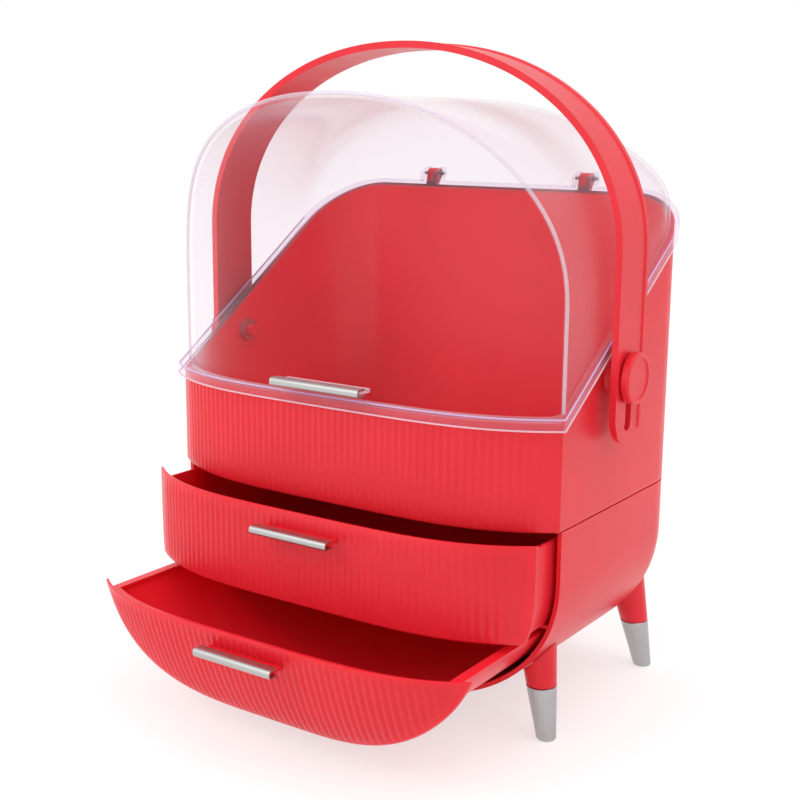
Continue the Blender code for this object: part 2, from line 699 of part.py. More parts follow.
def make_drawer(name, low, high, front_low, front_high, opened, ledge):
    """A drawer in its place, standing open by a distance."""
    body = drawer_front(name, front_low, front_high)
    outer = [drawer_loop(width, height, 0, FRONT_WALL - DRAWER_FRONT_SINK)
             for width, height in drawer_levels(low, high, 0)]
    levels = drawer_levels(low + DRAWER_WALL, high - DRAWER_LEDGE_THICK if ledge else high, DRAWER_WALL)
    inner = [drawer_loop(width, height, DRAWER_WALL, DRAWER_FRONT_SKIN) for width, height in reversed(levels)]
    if ledge:
        width = levels[-1][0] - ledge
        inner = [drawer_loop(width, level, DRAWER_WALL + ledge, DRAWER_FRONT_SKIN + ledge)
                 for level in (high, high - DRAWER_LEDGE_THICK)] + inner
    join(body, loop_solid("box", outer + inner))
    middle = front_high - LIP_DROP
    half = DRAWER_PULL_WIDTH / 2 - CAP_END
    face = front_rake(middle) - FRONT_EDGE - BOW_DEPTH
    join(body, box("lip", (-half, face - LIP_REACH, middle - LIP_THICK / 2),
                   (half, face + FRONT_WALL / 2, middle + LIP_THICK / 2)))
    finish(body, drawer_plastic())
    cap = make_cap(f"{name}_pull", DRAWER_PULL_WIDTH, face - LIP_REACH, middle)
    for thing in (body, cap):
        thing.data.transform(Matrix.Translation((0, -opened, 0)))
    return [body, cap]


def make_cap(name, width, tip, middle):
    """The bent metal channel over a lip that ends at a depth and lies at a height."""
    inner = LIP_THICK / 2 + GAP
    outer = inner + CAP_THICK
    front = tip - GAP
    back = front + CAP_DEPTH
    bevel = CAP_THICK * CAP_BEVEL_SHARE
    outline = [(back, middle + inner), (back, middle + outer), (front - bevel, middle + outer),
               (front - CAP_THICK, middle + inner), (front - CAP_THICK, middle - inner),
               (front - bevel, middle - outer), (back, middle - outer), (back, middle - inner),
               (front, middle - inner), (front, middle + inner)]
    return finish(prism_x(name, outline, -width / 2, width / 2), satin_steel())


def make_upper_drawer():
    return make_drawer("upper_drawer", SHELF_TOP + RUNNING_GAP, UPPER_FRONT_HIGH - UPPER_BOX_DROP,
                       UPPER_FRONT_LOW, UPPER_FRONT_HIGH, UPPER_OPEN, 0)


def make_lower_drawer():
    return make_drawer("lower_drawer", floor_height(), LOWER_FRONT_HIGH - LOWER_BOX_DROP,
                       HOUSING_BOTTOM, LOWER_FRONT_HIGH, LOWER_OPEN, DRAWER_LEDGE)


def dome_half(y, inset):
    """Half width of the dome at a depth."""
    radius = BACK_CORNER - DOME_INSET - inset
    behind = min(max(y - (BODY_DEPTH - BACK_CORNER), 0), radius)
    return HALF_WIDTH - BACK_CORNER + math.sqrt(radius ** 2 - behind ** 2)


def dome_arch(y, inset):
    """Height at which the dome's arch starts and the height of its top, at a depth."""
    base = rim_height(y)
    back = BODY_DEPTH - DOME_INSET - inset
    share = min(max((y - DOME_BACK_START) / (back - DOME_BACK_START), 0), 1)
    left = DOME_BACK_LEFT + (1 - DOME_BACK_LEFT) * math.sqrt(1 - share ** 2)
    top = base + (DOME_TOP - inset - base) * left
    return min(max(DOME_SPRING, base + 2 * FLANGE_THICK), top - FLANGE_THICK / 2), top


def dome_solid(name, inset, rise):
    """The dome's shape drawn inward, standing at a rise above the rim's plane."""
    back = BODY_DEPTH - DOME_INSET - inset
    rounding = [DOME_BACK_START + (back - DOME_BACK_START) * math.sin(math.pi / 2 * k / DOME_BACK_STEPS)
                for k in range(DOME_BACK_STEPS + 1)]
    straight = [FRONT_EDGE, BODY_DEPTH / 4, BODY_DEPTH / 2]
    turns = [math.pi * k / ARCH_STEPS for k in range(ARCH_STEPS + 1)]
    shares = [math.copysign(abs(math.cos(turn)) ** (2 / DOME_POWER), math.cos(turn)) for turn in turns]
    ups = [abs(math.sin(turn)) ** (2 / DOME_POWER) if 0 < k < ARCH_STEPS else 0
           for k, turn in enumerate(turns)]
    shape = bmesh.new()
    arches, bottoms = [], []
    for y in [None, *straight, *rounding]:
        spring, top = dome_arch(0 if y is None else y, inset)
        half = dome_half(0 if y is None else y, inset)
        arch, bottom = [], []
        for share, up in zip(shares, ups):
            x = half * share
            depth = float(front_depth(x, -DOME_INSET - inset)) if y is None else y
            arch.append(shape.verts.new((x, depth, spring + (top - spring) * up)))
            bottom.append(shape.verts.new((x, depth, rim_height(depth) + rise)))
        arches.append(arch)
        bottoms.append(bottom)
    for line, after in zip(arches, arches[1:]):
        for k in range(ARCH_STEPS):
            shape.faces.new((line[k], line[k + 1], after[k + 1], after[k]))
    for line, after in zip(bottoms, bottoms[1:]):
        for k in range(ARCH_STEPS):
            shape.faces.new((line[k], line[k + 1], after[k + 1], after[k]))
    for end in (0, -1):
        for k in range(ARCH_STEPS):
            shape.faces.new((arches[end][k], arches[end][k + 1], bottoms[end][k + 1], bottoms[end][k]))
        for arch, after, bottom, under in zip(arches, arches[1:], bottoms, bottoms[1:]):
            shape.faces.new((arch[end], after[end], under[end], bottom[end]))
    return closed_body(name, shape)


def rim_sections(points, line):
    """Sections along a line on the rim: points are an offset from the body's outline and a rise."""
    outlines = [[(x, y, rim_height(y) + rise) for x, y in line(offset)] for offset, rise in points]
    return [list(section) for section in zip(*outlines)]


def skirt_line(offset):
    """Along the front and both sides, up to the skirt's end."""
    half = HALF_WIDTH + offset
    return [(half, SKIRT_END), *front_line(half, offset), (-half, SKIRT_END)]


def back_flange_line(offset):
    """Round the back, between the two ends of the skirt."""
    half = HALF_WIDTH + offset
    return back_line(half, BODY_DEPTH + offset, BACK_CORNER + offset, SKIRT_END - OVERRUN)


def ear_outline():
    """An ear round the hinge pin and its foot into the lid's back, as depths and heights."""
    foot = BODY_DEPTH - EAR_FOOT / 2
    arc = [(HINGE_DEPTH + EAR_RADIUS * math.cos(turn), HINGE_HEIGHT + EAR_RADIUS * math.sin(turn))
           for turn in (math.pi / 2 - math.pi * k / SMALL_STEPS for k in range(SMALL_STEPS + 1))]
    low = HINGE_HEIGHT - EAR_RADIUS
    return [(foot, low - FLANGE_THICK / 2), (foot, HINGE_HEIGHT + GAP), *arc,
            (BODY_DEPTH - FLANGE_THICK / 2, low)]


def make_lid():
    inner = FLANGE_INNER_STEP - DOME_INSET - LID_WALL
    top = GAP + FLANGE_THICK
    body = dome_solid("lid_dome", 0, GAP + FLANGE_THICK / 2)
    join(body, loop_solid("skirt", rim_sections([
        (inner, GAP), (SKIRT_GAP, GAP), (SKIRT_GAP, -SKIRT_DROP), (FLANGE_REACH, -SKIRT_DROP),
        (FLANGE_REACH, top), (inner, top)], skirt_line)))
    join(body, loop_solid("back_flange", rim_sections([
        (inner - FLANGE_STEP, GAP + FLANGE_STEP), (-FLANGE_STEP, GAP + FLANGE_STEP),
        (-FLANGE_STEP, top - FLANGE_STEP), (inner - FLANGE_STEP, top - FLANGE_STEP)], back_flange_line)))
    cut(body, dome_solid("hollow", LID_WALL, -OVERRUN))
    half = LID_PULL_WIDTH / 2 - CAP_END
    face = -FRONT_EDGE - BOW_DEPTH
    join(body, box("lip", (-half, face - LIP_REACH, LID_LIP_HEIGHT - LIP_THICK / 2),
                   (half, face + DOME_INSET + LID_WALL / 2, LID_LIP_HEIGHT + LIP_THICK / 2)))
    near = KNUCKLE_WIDTH / 2 + GAP
    for middle in (-HINGE_HALF_SPAN, HINGE_HALF_SPAN):
        for low in (middle - near - EAR_THICK, middle + near):
            join(body, prism_x("ear", ear_outline(), low, low + EAR_THICK))
    cut(body, pin_hole())
    finish(body, clear_plastic())
    cap = make_cap("lid_pull", LID_PULL_WIDTH, face - LIP_REACH, LID_LIP_HEIGHT)
    pins = []
    for side, middle in (("right", HINGE_HALF_SPAN), ("left", -HINGE_HALF_SPAN)):
        pin = turned(f"hinge_pin_{side}", (middle - PIN_LENGTH / 2, HINGE_DEPTH, HINGE_HEIGHT), (1, 0, 0),
                     [(0, PIN_RADIUS), (PIN_LENGTH, PIN_RADIUS)], SMALL_STEPS)
        pins.append(finish(pin, zinc()))
    return [body, cap, *pins]


def handle_path():
    """The handle's line as widths and heights for its outer face, from the right end to the left."""
    points = [(1, HANDLE_END_CENTRE - HANDLE_END_RADIUS - OVERRUN), (1, PIVOT_HEIGHT)]
    for k in range(ARCH_STEPS + 1):
        turn = math.pi * k / ARCH_STEPS
        across = math.copysign(abs(math.cos(turn)) ** (2 / HANDLE_POWER), math.cos(turn))
        up = abs(math.sin(turn)) ** (2 / HANDLE_POWER) if 0 < k < ARCH_STEPS else 0
        points.append((across, HANDLE_SPRING, up))
    return points + [(-1, PIVOT_HEIGHT), (-1, HANDLE_END_CENTRE - HANDLE_END_RADIUS - OVERRUN)]


def make_handle():
    wide = HANDLE_WIDTH / 2 + GAP
    groove = HANDLE_WIDTH / 2 - HANDLE_BORDER
    section = [(-wide, HANDLE_THICK), (wide, HANDLE_THICK), (wide, 0), (groove + HANDLE_CHANNEL, 0),
               (groove, HANDLE_CHANNEL), (-groove, HANDLE_CHANNEL), (-groove - HANDLE_CHANNEL, 0), (-wide, 0)]
    loops = []
    for across, height, *up in handle_path():
        rise = up[0] if up else 0
        loops.append([(across * (HANDLE_HALF - inward), HANDLE_DEPTH + y,
                       height + rise * (HANDLE_TOP - inward - HANDLE_SPRING)) for y, inward in section])
    body = loop_solid("carry_handle", loops)
    arc = [(HANDLE_DEPTH + HANDLE_END_RADIUS * math.cos(turn),
            HANDLE_END_CENTRE + HANDLE_END_RADIUS * math.sin(turn))
           for turn in (-math.pi * k / ROUND_STEPS for k in range(ROUND_STEPS + 1))]
    top = HANDLE_TOP + OVERRUN
    outline = [(HANDLE_DEPTH - HANDLE_END_RADIUS, top), (HANDLE_DEPTH + HANDLE_END_RADIUS, top), *arc]
    combine(body, prism_x("ends", outline, -HALF_WIDTH - HANDLE_HALF, HALF_WIDTH + HANDLE_HALF), "INTERSECT")
    cut(body, prism_x("slots", slot_outline(), -HALF_WIDTH - HANDLE_HALF, HALF_WIDTH + HANDLE_HALF))
    return [finish(body, red_plastic())]


def slot_outline():
    points = []
    for centre, first in ((PIVOT_HEIGHT, 0), (SLOT_LOW, math.pi)):
        for k in range(SMALL_STEPS // 2 + 1):
            turn = first + math.pi * k / (SMALL_STEPS // 2)
            points.append((HANDLE_DEPTH + SLOT_RADIUS * math.cos(turn),
                           centre + SLOT_RADIUS * math.sin(turn)))
    return points


def make_pivot(side, sign):
    start = BODY_INNER_HALF - STEM_INSIDE
    reach = HANDLE_HALF + GAP - start
    knob = turned(f"knob_{side}", (sign * start, HANDLE_DEPTH, PIVOT_HEIGHT), (sign, 0, 0), [
        (0, STEM_RADIUS), (reach, STEM_RADIUS), (reach, KNOB_RADIUS - KNOB_EDGE),
        (reach + KNOB_EDGE, KNOB_RADIUS), (reach + KNOB_THICK - KNOB_EDGE, KNOB_RADIUS),
        (reach + KNOB_THICK, KNOB_RADIUS - KNOB_EDGE), (reach + KNOB_THICK, KNOB_RADIUS - KNOB_RIM),
        (reach + KNOB_THICK - KNOB_DISH, KNOB_RADIUS - KNOB_RIM - KNOB_DISH)])
    clip_start = BODY_INNER_HALF - GAP
    clip = turned(f"stem_clip_{side}", (sign * clip_start, HANDLE_DEPTH, PIVOT_HEIGHT), (-sign, 0, 0),
                  [(0, CLIP_RADIUS), (CLIP_THICK, CLIP_RADIUS)])
    cut(clip, pivot_hole())
    return [finish(knob, red_plastic()), finish(clip, zinc())]


def group(name, point, children, parent=None):
    """Hangs children on a named point, which is where they turn or slide."""
    empty = bpy.data.objects.new(name, None)
    bpy.context.collection.objects.link(empty)
    empty.empty_display_size = BACK_CORNER
    base = Vector(parent["point"]) if parent else Vector((0, 0, 0))
    empty["point"] = point
    empty.parent = parent
    empty.location = Vector(point) - base
    for child in children:
        child.parent = empty
        child.location = -Vector(point)
    return empty


def main():
    clear_scene()
    cabinet = [make_housing(), make_shelf(), make_tub()]
    for name, leg in legs():
        cabinet += make_leg(name, leg)
        cabinet.append(make_leg_screw(name, leg))
    cabinet += make_tub_screws()
    root = group("makeup_organizer", (0, 0, 0), cabinet)
    face = -FRONT_EDGE - BOW_DEPTH
    group("lid", (0, HINGE_DEPTH, HINGE_HEIGHT), make_lid(), root)
    group("upper_slide", (0, face - UPPER_OPEN, UPPER_FRONT_LOW), make_upper_drawer(), root)
    group("lower_slide", (0, face - LOWER_OPEN, HOUSING_BOTTOM), make_lower_drawer(), root)
    pivots = make_pivot("right", 1) + make_pivot("left", -1)
    swing = group("handle_pivots", (0, HANDLE_DEPTH, PIVOT_HEIGHT), pivots, root)
    group("handle", (0, HANDLE_DEPTH, PIVOT_HEIGHT), make_handle(), swing)
    root.location = (0, centre_shift(), 0)


main()
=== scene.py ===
"""The looks of the makeup organizer: finely modelled pieces, their materials, the studio and the camera."""
import json
import math

import bmesh
import bpy
import numpy as np
from mathutils import Matrix, Vector


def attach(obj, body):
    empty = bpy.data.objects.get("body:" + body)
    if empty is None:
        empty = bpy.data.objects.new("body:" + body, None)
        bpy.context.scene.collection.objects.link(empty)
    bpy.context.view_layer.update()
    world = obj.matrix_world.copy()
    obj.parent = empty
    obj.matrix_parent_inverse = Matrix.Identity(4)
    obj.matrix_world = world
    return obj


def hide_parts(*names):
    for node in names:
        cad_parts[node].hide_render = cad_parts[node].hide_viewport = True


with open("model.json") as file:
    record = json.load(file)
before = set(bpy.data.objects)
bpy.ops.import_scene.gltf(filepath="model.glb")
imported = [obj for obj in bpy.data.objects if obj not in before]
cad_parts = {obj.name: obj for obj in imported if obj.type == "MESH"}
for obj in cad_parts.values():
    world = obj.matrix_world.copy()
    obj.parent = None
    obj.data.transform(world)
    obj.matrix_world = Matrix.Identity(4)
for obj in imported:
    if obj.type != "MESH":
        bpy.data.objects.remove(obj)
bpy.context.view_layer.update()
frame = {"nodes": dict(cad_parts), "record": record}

MM = 0.001

# Fits
GAP = 0.3 * MM  # between two pieces that touch
RUNNING_GAP = 0.4 * MM  # under a drawer
OVERRUN = 5 * MM  # how far a cut goes past what it cuts
WELD = 0.005 * MM  # points closer than this become one

# Cabinet body, seen from above and from the front
HALF_WIDTH = 135 * MM
BODY_DEPTH = 162 * MM
BACK_CORNER = 40 * MM  # radius of the two back corners, seen from above
CORNER_SHARE = 0.9  # of the half width, the most that a back corner takes
WALL = 2.5 * MM
HOUSING_BOTTOM = 14 * MM
FLAT_HALF = 24 * MM  # half of the flat stretch of the bottom
FLANK_HEIGHT = 86 * MM  # how high the bottom's curve runs up the flanks
FLANK_POWER = 2.12  # 2 would be an ellipse, less is closer to a straight bevel
SIDE_HEIGHT = 29.5 * MM  # of the housing's straight sides, above the flanks

# Bowed fronts of the tub and the drawers, all on one surface when the drawers are shut
FRONT_EDGE = 2.6 * MM  # how far the fronts' ends stand ahead of the side walls
BOW_DEPTH = 27.5 * MM
BOW_POWER = 4
FRONT_WALL = 2.2 * MM
FRONT_RAKE = 31 * MM  # sets how far the lower drawer's front draws back towards its bottom
RAKE_POWER = 1.4
FRONT_CHAMFER = 1.4 * MM  # along the bottom of a drawer's front
FRONT_SIDE_GAP = 0.5 * MM  # a drawer's front stays this far inside the body's width
FRONT_TIP = 1.5 * MM  # height of the thin end of a drawer's front
RIB_PITCH = 4.6 * MM
RIB_DEPTH = 0.6 * MM
RIB_MARGIN = 8 * MM  # smooth stretch at each end of a ribbed front
RIB_FADE = 3 * MM  # height over which the ribs start above an edge

# Tub
TUB_HEIGHT = 60.5 * MM  # of the tub's front, above the housing
RIM_SLOPE = 0.68  # rise of the rim for each unit of depth, along the sides
FLOOR_WALL = 2.5 * MM

# Drawers
UPPER_OPEN = 24 * MM  # how far each drawer stands open
LOWER_OPEN = 74.5 * MM
FRONT_TOP_GAP = 0.5 * MM  # from the upper drawer's front up to the seam
UPPER_BAY = 55.2 * MM  # from the shelf up to the seam
SHELF_GROOVE = 1 * MM
FRONTS_GAP = 2.6 * MM  # between the two drawers' fronts
DRAWER_SIDE_GAP = 3 * MM
DRAWER_BACK_GAP = 5 * MM
DRAWER_WALL = 2 * MM
DRAWER_FRONT_SINK = 1.2 * MM  # how far a drawer's box reaches into its front
DRAWER_FRONT_SKIN = 2.4 * MM  # what the box's hollow leaves of its front
UPPER_BOX_DROP = 5 * MM  # a drawer's box is this much lower than its front
LOWER_BOX_DROP = 2.5 * MM
DRAWER_FLANK_EASE = 8 * MM  # a drawer's flat bottom is this much narrower on each side
DRAWER_LEDGE = 3 * MM  # inward ledge along the top of the lower drawer's sides
DRAWER_LEDGE_THICK = 1.5 * MM

# Pulls: a lip under a bent metal cap
DRAWER_PULL_WIDTH = 54 * MM
LID_PULL_WIDTH = 62 * MM
LIP_THICK = 2.2 * MM
LIP_REACH = 12 * MM
LIP_DROP = 11 * MM  # lip's middle below the top of a drawer's front
CAP_THICK = 1 * MM
CAP_DEPTH = 6 * MM
CAP_END = 2 * MM  # the cap passes the lip by this much at each end

# Lid
LID_WALL = 2 * MM
DOME_INSET = 2.5 * MM  # dome's face inside the tub's face
DOME_SIDE = 58 * MM  # straight height of the dome's front above the rim
DOME_RISE = 110 * MM  # of the dome's arch
DOME_POWER = 2.25
DOME_BACK_REACH = 57 * MM  # depth over which the dome rounds down to the back
DOME_BACK_LEFT = 0.12  # share of the dome's height that is left at its back wall
FLANGE_REACH = 3.5 * MM  # flange and skirt stand this far outside the tub
FLANGE_THICK = 2.5 * MM
SKIRT_DROP = 4 * MM
FLANGE_STEP = 0.2 * MM  # the flange round the back is this much thinner on every side
SKIRT_END_GAP = 4 * MM  # the skirt stops this far ahead of the back corners
LID_LIP_RISE = 9 * MM  # of the lid's lip above the front of the rim

# Lid hinges
HINGE_HALF_SPAN = 58 * MM
HINGE_RISE = 7 * MM  # axis above the back of the rim
HINGE_BACK = 5.5 * MM  # axis behind the back wall
PIN_RADIUS = 1.25 * MM
PIN_LENGTH = 16 * MM
KNUCKLE_WIDTH = 8 * MM
KNUCKLE_RADIUS = 3.4 * MM
KNUCKLE_TURN = 1.3  # of a half turn that the knuckle's round runs
KNUCKLE_ROOT = 14 * MM  # how far the knuckle runs down the back wall
EAR_THICK = 2.5 * MM
EAR_RADIUS = 4.4 * MM
EAR_FOOT = 6 * MM  # how far an ear reaches forward into the dome's back wall

# Handle
HANDLE_SIDE_GAP = 7 * MM  # between the tub's sides and the handle
HANDLE_THICK = 4 * MM
HANDLE_WIDTH = 34 * MM
HANDLE_SIDE = 68 * MM  # straight height of the handle above its pivots
HANDLE_RISE = 114 * MM  # of the handle's arch
HANDLE_POWER = 2.06
HANDLE_BORDER = 4 * MM
HANDLE_CHANNEL = 0.8 * MM
PIVOT_RISE = 17 * MM  # of the pivots above the front of the rim
PIVOT_SHARE = 1 / 3  # of the body's depth
STEM_RADIUS = 3.8 * MM
SLOT_TRAVEL = 26 * MM
SLOT_END = 7 * MM  # handle left below its slot
KNOB_RADIUS = 14.5 * MM
KNOB_THICK = 5 * MM
KNOB_EDGE = 0.8 * MM
KNOB_DISH = 0.7 * MM
KNOB_RIM = 2.2 * MM
PIVOT_BOSS_RADIUS = 9.5 * MM
PIVOT_BOSS_GAP = 1 * MM  # between the tub's boss and the handle
STEM_INSIDE = 6 * MM  # stem past the tub's wall, on the inside

# Legs
FOOT_FRONT = 17 * MM
FOOT_BACK_INSET = 15 * MM
SPLAY_X = 0.19  # sideways run of a leg for each unit of height
SPLAY_Y = 0.1
TIP_LENGTH = 31 * MM
TIP_RADIUS = 5.8 * MM
TIP_ROUND = 1.5 * MM
LEG_RADIUS = 8.8 * MM  # where the leg meets its tip
LEG_TAPER = 0.09  # growth in radius for each unit of length
LEG_LENGTH = 48 * MM
SPIGOT_RADIUS = 4.5 * MM
SPIGOT_LENGTH = 8 * MM
LEG_SEAT_RISE = 6.3 * MM  # from the spigot's top to where a front leg's middle meets the flank

# Screws
TAB_SIZE = 13 * MM
TAB_THICK = 2 * MM
TAB_STEP = 0.3 * MM  # a tab's top is this far below the seam
TAB_FRONT = 5 * MM  # depth at which the front tabs start
TAB_BACK_INSET = 10 * MM  # of the back tabs' start ahead of the back corners
BOSS_RADIUS = 3.6 * MM
BOSS_HEIGHT = 4 * MM

# Fineness
CORNER_STEPS = 20
FLANK_STEPS = 26
ARCH_STEPS = 120
FRONT_STEPS = 64
DOME_BACK_STEPS = 22
ROUND_STEPS = 64
SMALL_STEPS = 32

# Worked out from the sizes above
SKIRT_GAP = RIB_DEPTH + GAP  # the skirt clears the ribs
BODY_INNER_HALF = HALF_WIDTH - WALL
FLANK_TOP = HOUSING_BOTTOM + FLANK_HEIGHT
SEAM = FLANK_TOP + SIDE_HEIGHT  # top of the housing, where the tub stands on it
RIM_FRONT = SEAM + TUB_HEIGHT
UPPER_FRONT_HIGH = SEAM - FRONT_TOP_GAP
SHELF_TOP = SEAM - UPPER_BAY
DOME_SPRING = RIM_FRONT + DOME_SIDE
DOME_TOP = DOME_SPRING + DOME_RISE
DOME_BACK_START = BODY_DEPTH - DOME_BACK_REACH
SKIRT_END = BODY_DEPTH - BACK_CORNER - SKIRT_END_GAP
LID_LIP_HEIGHT = RIM_FRONT + LID_LIP_RISE
HANDLE_HALF = HALF_WIDTH + HANDLE_SIDE_GAP + HANDLE_THICK
HANDLE_DEPTH = BODY_DEPTH * PIVOT_SHARE
PIVOT_HEIGHT = RIM_FRONT + PIVOT_RISE
HANDLE_SPRING = PIVOT_HEIGHT + HANDLE_SIDE
HANDLE_TOP = HANDLE_SPRING + HANDLE_RISE
LEG_SEAT_HEIGHT = TIP_LENGTH + SPIGOT_LENGTH + LEG_SEAT_RISE
FOOT_BACK = BODY_DEPTH - FOOT_BACK_INSET
TAB_BACK = BODY_DEPTH - BACK_CORNER - TAB_BACK_INSET
TUB_BOTTOM = SEAM + GAP
RIM_BACK = RIM_FRONT + RIM_SLOPE * (BODY_DEPTH + FRONT_EDGE)
UPPER_FRONT_LOW = SHELF_TOP
LOWER_FRONT_HIGH = UPPER_FRONT_LOW - FRONTS_GAP
HINGE_DEPTH = BODY_DEPTH + HINGE_BACK
HINGE_HEIGHT = RIM_BACK + HINGE_RISE
HANDLE_INNER = HANDLE_HALF - HANDLE_THICK
SLOT_RADIUS = STEM_RADIUS + GAP
SLOT_LOW = PIVOT_HEIGHT - SLOT_TRAVEL
HANDLE_END_RADIUS = HANDLE_WIDTH / 2
HANDLE_END_CENTRE = SLOT_LOW - SLOT_RADIUS - SLOT_END + HANDLE_END_RADIUS
FRONT_REACH = FRONT_EDGE + BOW_DEPTH + LOWER_OPEN + LIP_REACH + GAP + CAP_THICK
BACK_REACH = max(HINGE_DEPTH + EAR_RADIUS, BODY_DEPTH + FLANGE_REACH)


def closed_body(name, shape):
    """An object from a closed surface, in triangles and facing outward."""
    shape.normal_update()
    bmesh.ops.recalc_face_normals(shape, faces=shape.faces)
    bmesh.ops.triangulate(shape, faces=shape.faces)
    mesh = bpy.data.meshes.new(name)
    shape.to_mesh(mesh)
    shape.free()
    body = bpy.data.objects.new(name, mesh)
    bpy.context.collection.objects.link(body)
    return body


def loop_solid(name, loops):
    """A closed body through a row of closed loops with as many points each, capped at both ends."""
    shape = bmesh.new()
    rings = [[shape.verts.new(point) for point in loop] for loop in loops]
    for here, there in zip(rings, rings[1:]):
        for k in range(len(here)):
            after = (k + 1) % len(here)
            shape.faces.new((here[k], here[after], there[after], there[k]))
    shape.faces.new(rings[0])
    shape.faces.new(rings[-1])
    return closed_body(name, shape)


def prism_x(name, profile, low, high):
    """A depth and height outline, drawn out sideways."""
    return loop_solid(name, [[(x, y, z) for y, z in profile] for x in (low, high)])


def box(name, low, high):
    (x0, y0, z0), (x1, y1, z1) = low, high
    return prism_x(name, [(y0, z0), (y1, z0), (y1, z1), (y0, z1)], x0, x1)


def turned(name, origin, direction, stations, steps=ROUND_STEPS):
    """A turned body: stations are a distance along the direction and the radius there."""
    along = Vector(direction).normalized()
    across = along.orthogonal().normalized()
    third = along.cross(across)
    loops = []
    for distance, radius in stations:
        centre = Vector(origin) + along * distance
        loops.append([centre + (across * math.cos(turn) + third * math.sin(turn)) * radius
                      for turn in (math.tau * k / steps for k in range(steps))])
    return loop_solid(name, loops)


def weld(body):
    """Joins points that a cut left on top of each other."""
    shape = bmesh.new()
    shape.from_mesh(body.data)
    bmesh.ops.triangulate(shape, faces=shape.faces)
    bmesh.ops.remove_doubles(shape, verts=shape.verts, dist=WELD)
    bmesh.ops.dissolve_degenerate(shape, edges=shape.edges, dist=WELD)
    shape.to_mesh(body.data)
    shape.free()


def combine(body, other, operation):
    """Joins, cuts or intersects a body with another, which is used up."""
    modifier = body.modifiers.new("combine", "BOOLEAN")
    modifier.operation = operation
    modifier.solver = "EXACT"
    modifier.object = other
    depsgraph = bpy.context.evaluated_depsgraph_get()
    mesh = bpy.data.meshes.new_from_object(body.evaluated_get(depsgraph))
    body.modifiers.clear()
    body.data = mesh
    bpy.data.objects.remove(other)
    weld(body)


def cut(body, other):
    combine(body, other, "DIFFERENCE")


def front_depth(x, offset=0):
    """Depth of the bowed front at a width, drawn outward by an offset."""
    share = np.minimum(np.abs(x) / (HALF_WIDTH + offset), 1)
    return -(FRONT_EDGE + offset) - BOW_DEPTH * (1 - share ** BOW_POWER)


def rake_curve(height):
    """How far the body's front foot has drawn forward at a height below the flanks' top."""
    share = min(max((FLANK_TOP - height) / FLANK_HEIGHT, 0), 1)
    return FRONT_RAKE * (1 - share ** RAKE_POWER) ** (1 / RAKE_POWER)


def front_rake(height):
    """How far the lower drawer's front has drawn back at a height; nothing above its top."""
    return max(rake_curve(LOWER_FRONT_HIGH) - rake_curve(height), 0)


def centre_shift():
    """Moves the middle of the overall box onto the origin."""
    reach = FRONT_REACH - front_rake(LOWER_FRONT_HIGH - LIP_DROP)
    return (reach - BACK_REACH) / 2


def front_line(half, offset=0, steps=FRONT_STEPS):
    """Points along the smooth front, from the right end to the left."""
    widths = half * np.cos(np.linspace(0, math.pi, steps + 1))
    return [(float(x), float(front_depth(x, offset))) for x in widths]


def back_line(half, back, radius, front=None):
    """Points round the back, from the left side to the right side."""
    points = []
    across = min(radius, half * CORNER_SHARE)
    for side, first in ((-1, 180), (1, 90)):
        for k in range(CORNER_STEPS + 1):
            turn = math.radians(first - 90 * k / CORNER_STEPS)
            points.append((side * (half - across) + across * math.cos(turn),
                           back - radius + radius * math.sin(turn)))
    if front is None:
        return points
    return [(-half, front), *points, (half, front)]


def rim_height(y):
    return RIM_FRONT + RIM_SLOPE * max(0, y + FRONT_EDGE)


def at_height(outline, height):
    return [(x, y, height) for x, y in outline]


def on_rim(outline, rise=0):
    return [(x, y, rim_height(y) + rise) for x, y in outline]


def flank_curve(half, flat, low, top=FLANK_TOP):
    """Half widths and heights down a flank, from the vertical side to the flat bottom."""
    curve = []
    for k in range(FLANK_STEPS + 1):
        turn = math.pi / 2 * k / FLANK_STEPS
        curve.append((flat + (half - flat) * max(math.cos(turn), 0) ** (2 / FLANK_POWER),
                      top - (top - low) * max(math.sin(turn), 0) ** (2 / FLANK_POWER)))
    return curve


def flank_half(height, half=HALF_WIDTH, flat=FLAT_HALF, low=HOUSING_BOTTOM):
    """Half width of the flank's curve at a height."""
    share = min(max((FLANK_TOP - height) / (FLANK_TOP - low), 0), 1)
    return flat + (half - flat) * (1 - share ** FLANK_POWER) ** (1 / FLANK_POWER)


def flank_low(x, half=HALF_WIDTH, flat=FLAT_HALF, low=HOUSING_BOTTOM):
    """Height of the flank's curve at a width."""
    share = min(max((abs(x) - flat) / (half - flat), 0), 1)
    return FLANK_TOP - (FLANK_TOP - low) * (1 - share ** FLANK_POWER) ** (1 / FLANK_POWER)


def housing_solid(name, offset, front, top):
    """The housing's shape drawn outward by an offset, from a depth and up to a height."""
    half = HALF_WIDTH + offset
    levels = [*reversed(flank_curve(half, FLAT_HALF, HOUSING_BOTTOM - offset)), (half, top)]
    radius = BACK_CORNER + offset
    return loop_solid(name, [at_height(back_line(width, BODY_DEPTH + offset, radius, front), height)
            for width, height in levels])


def leg_centre(foot_x, foot_y, lean, height):
    return foot_x * (1 - SPLAY_X * height / abs(foot_x)), foot_y + lean * SPLAY_Y * height


def leg_solid(name, leg, stations):
    """A leaning round body: stations are a height and the radius there."""
    loops = []
    for height, radius in stations:
        x, y = leg_centre(*leg, height)
        loops.append([(x + radius * math.cos(turn), y + radius * math.sin(turn), height)
                      for turn in (math.tau * k / ROUND_STEPS for k in range(ROUND_STEPS))])
    return loop_solid(name, loops)


def foot_half():
    """Half the feet's span, so that the front legs meet the flank at their seats' height."""
    return flank_half(LEG_SEAT_HEIGHT) + SPLAY_X * LEG_SEAT_HEIGHT


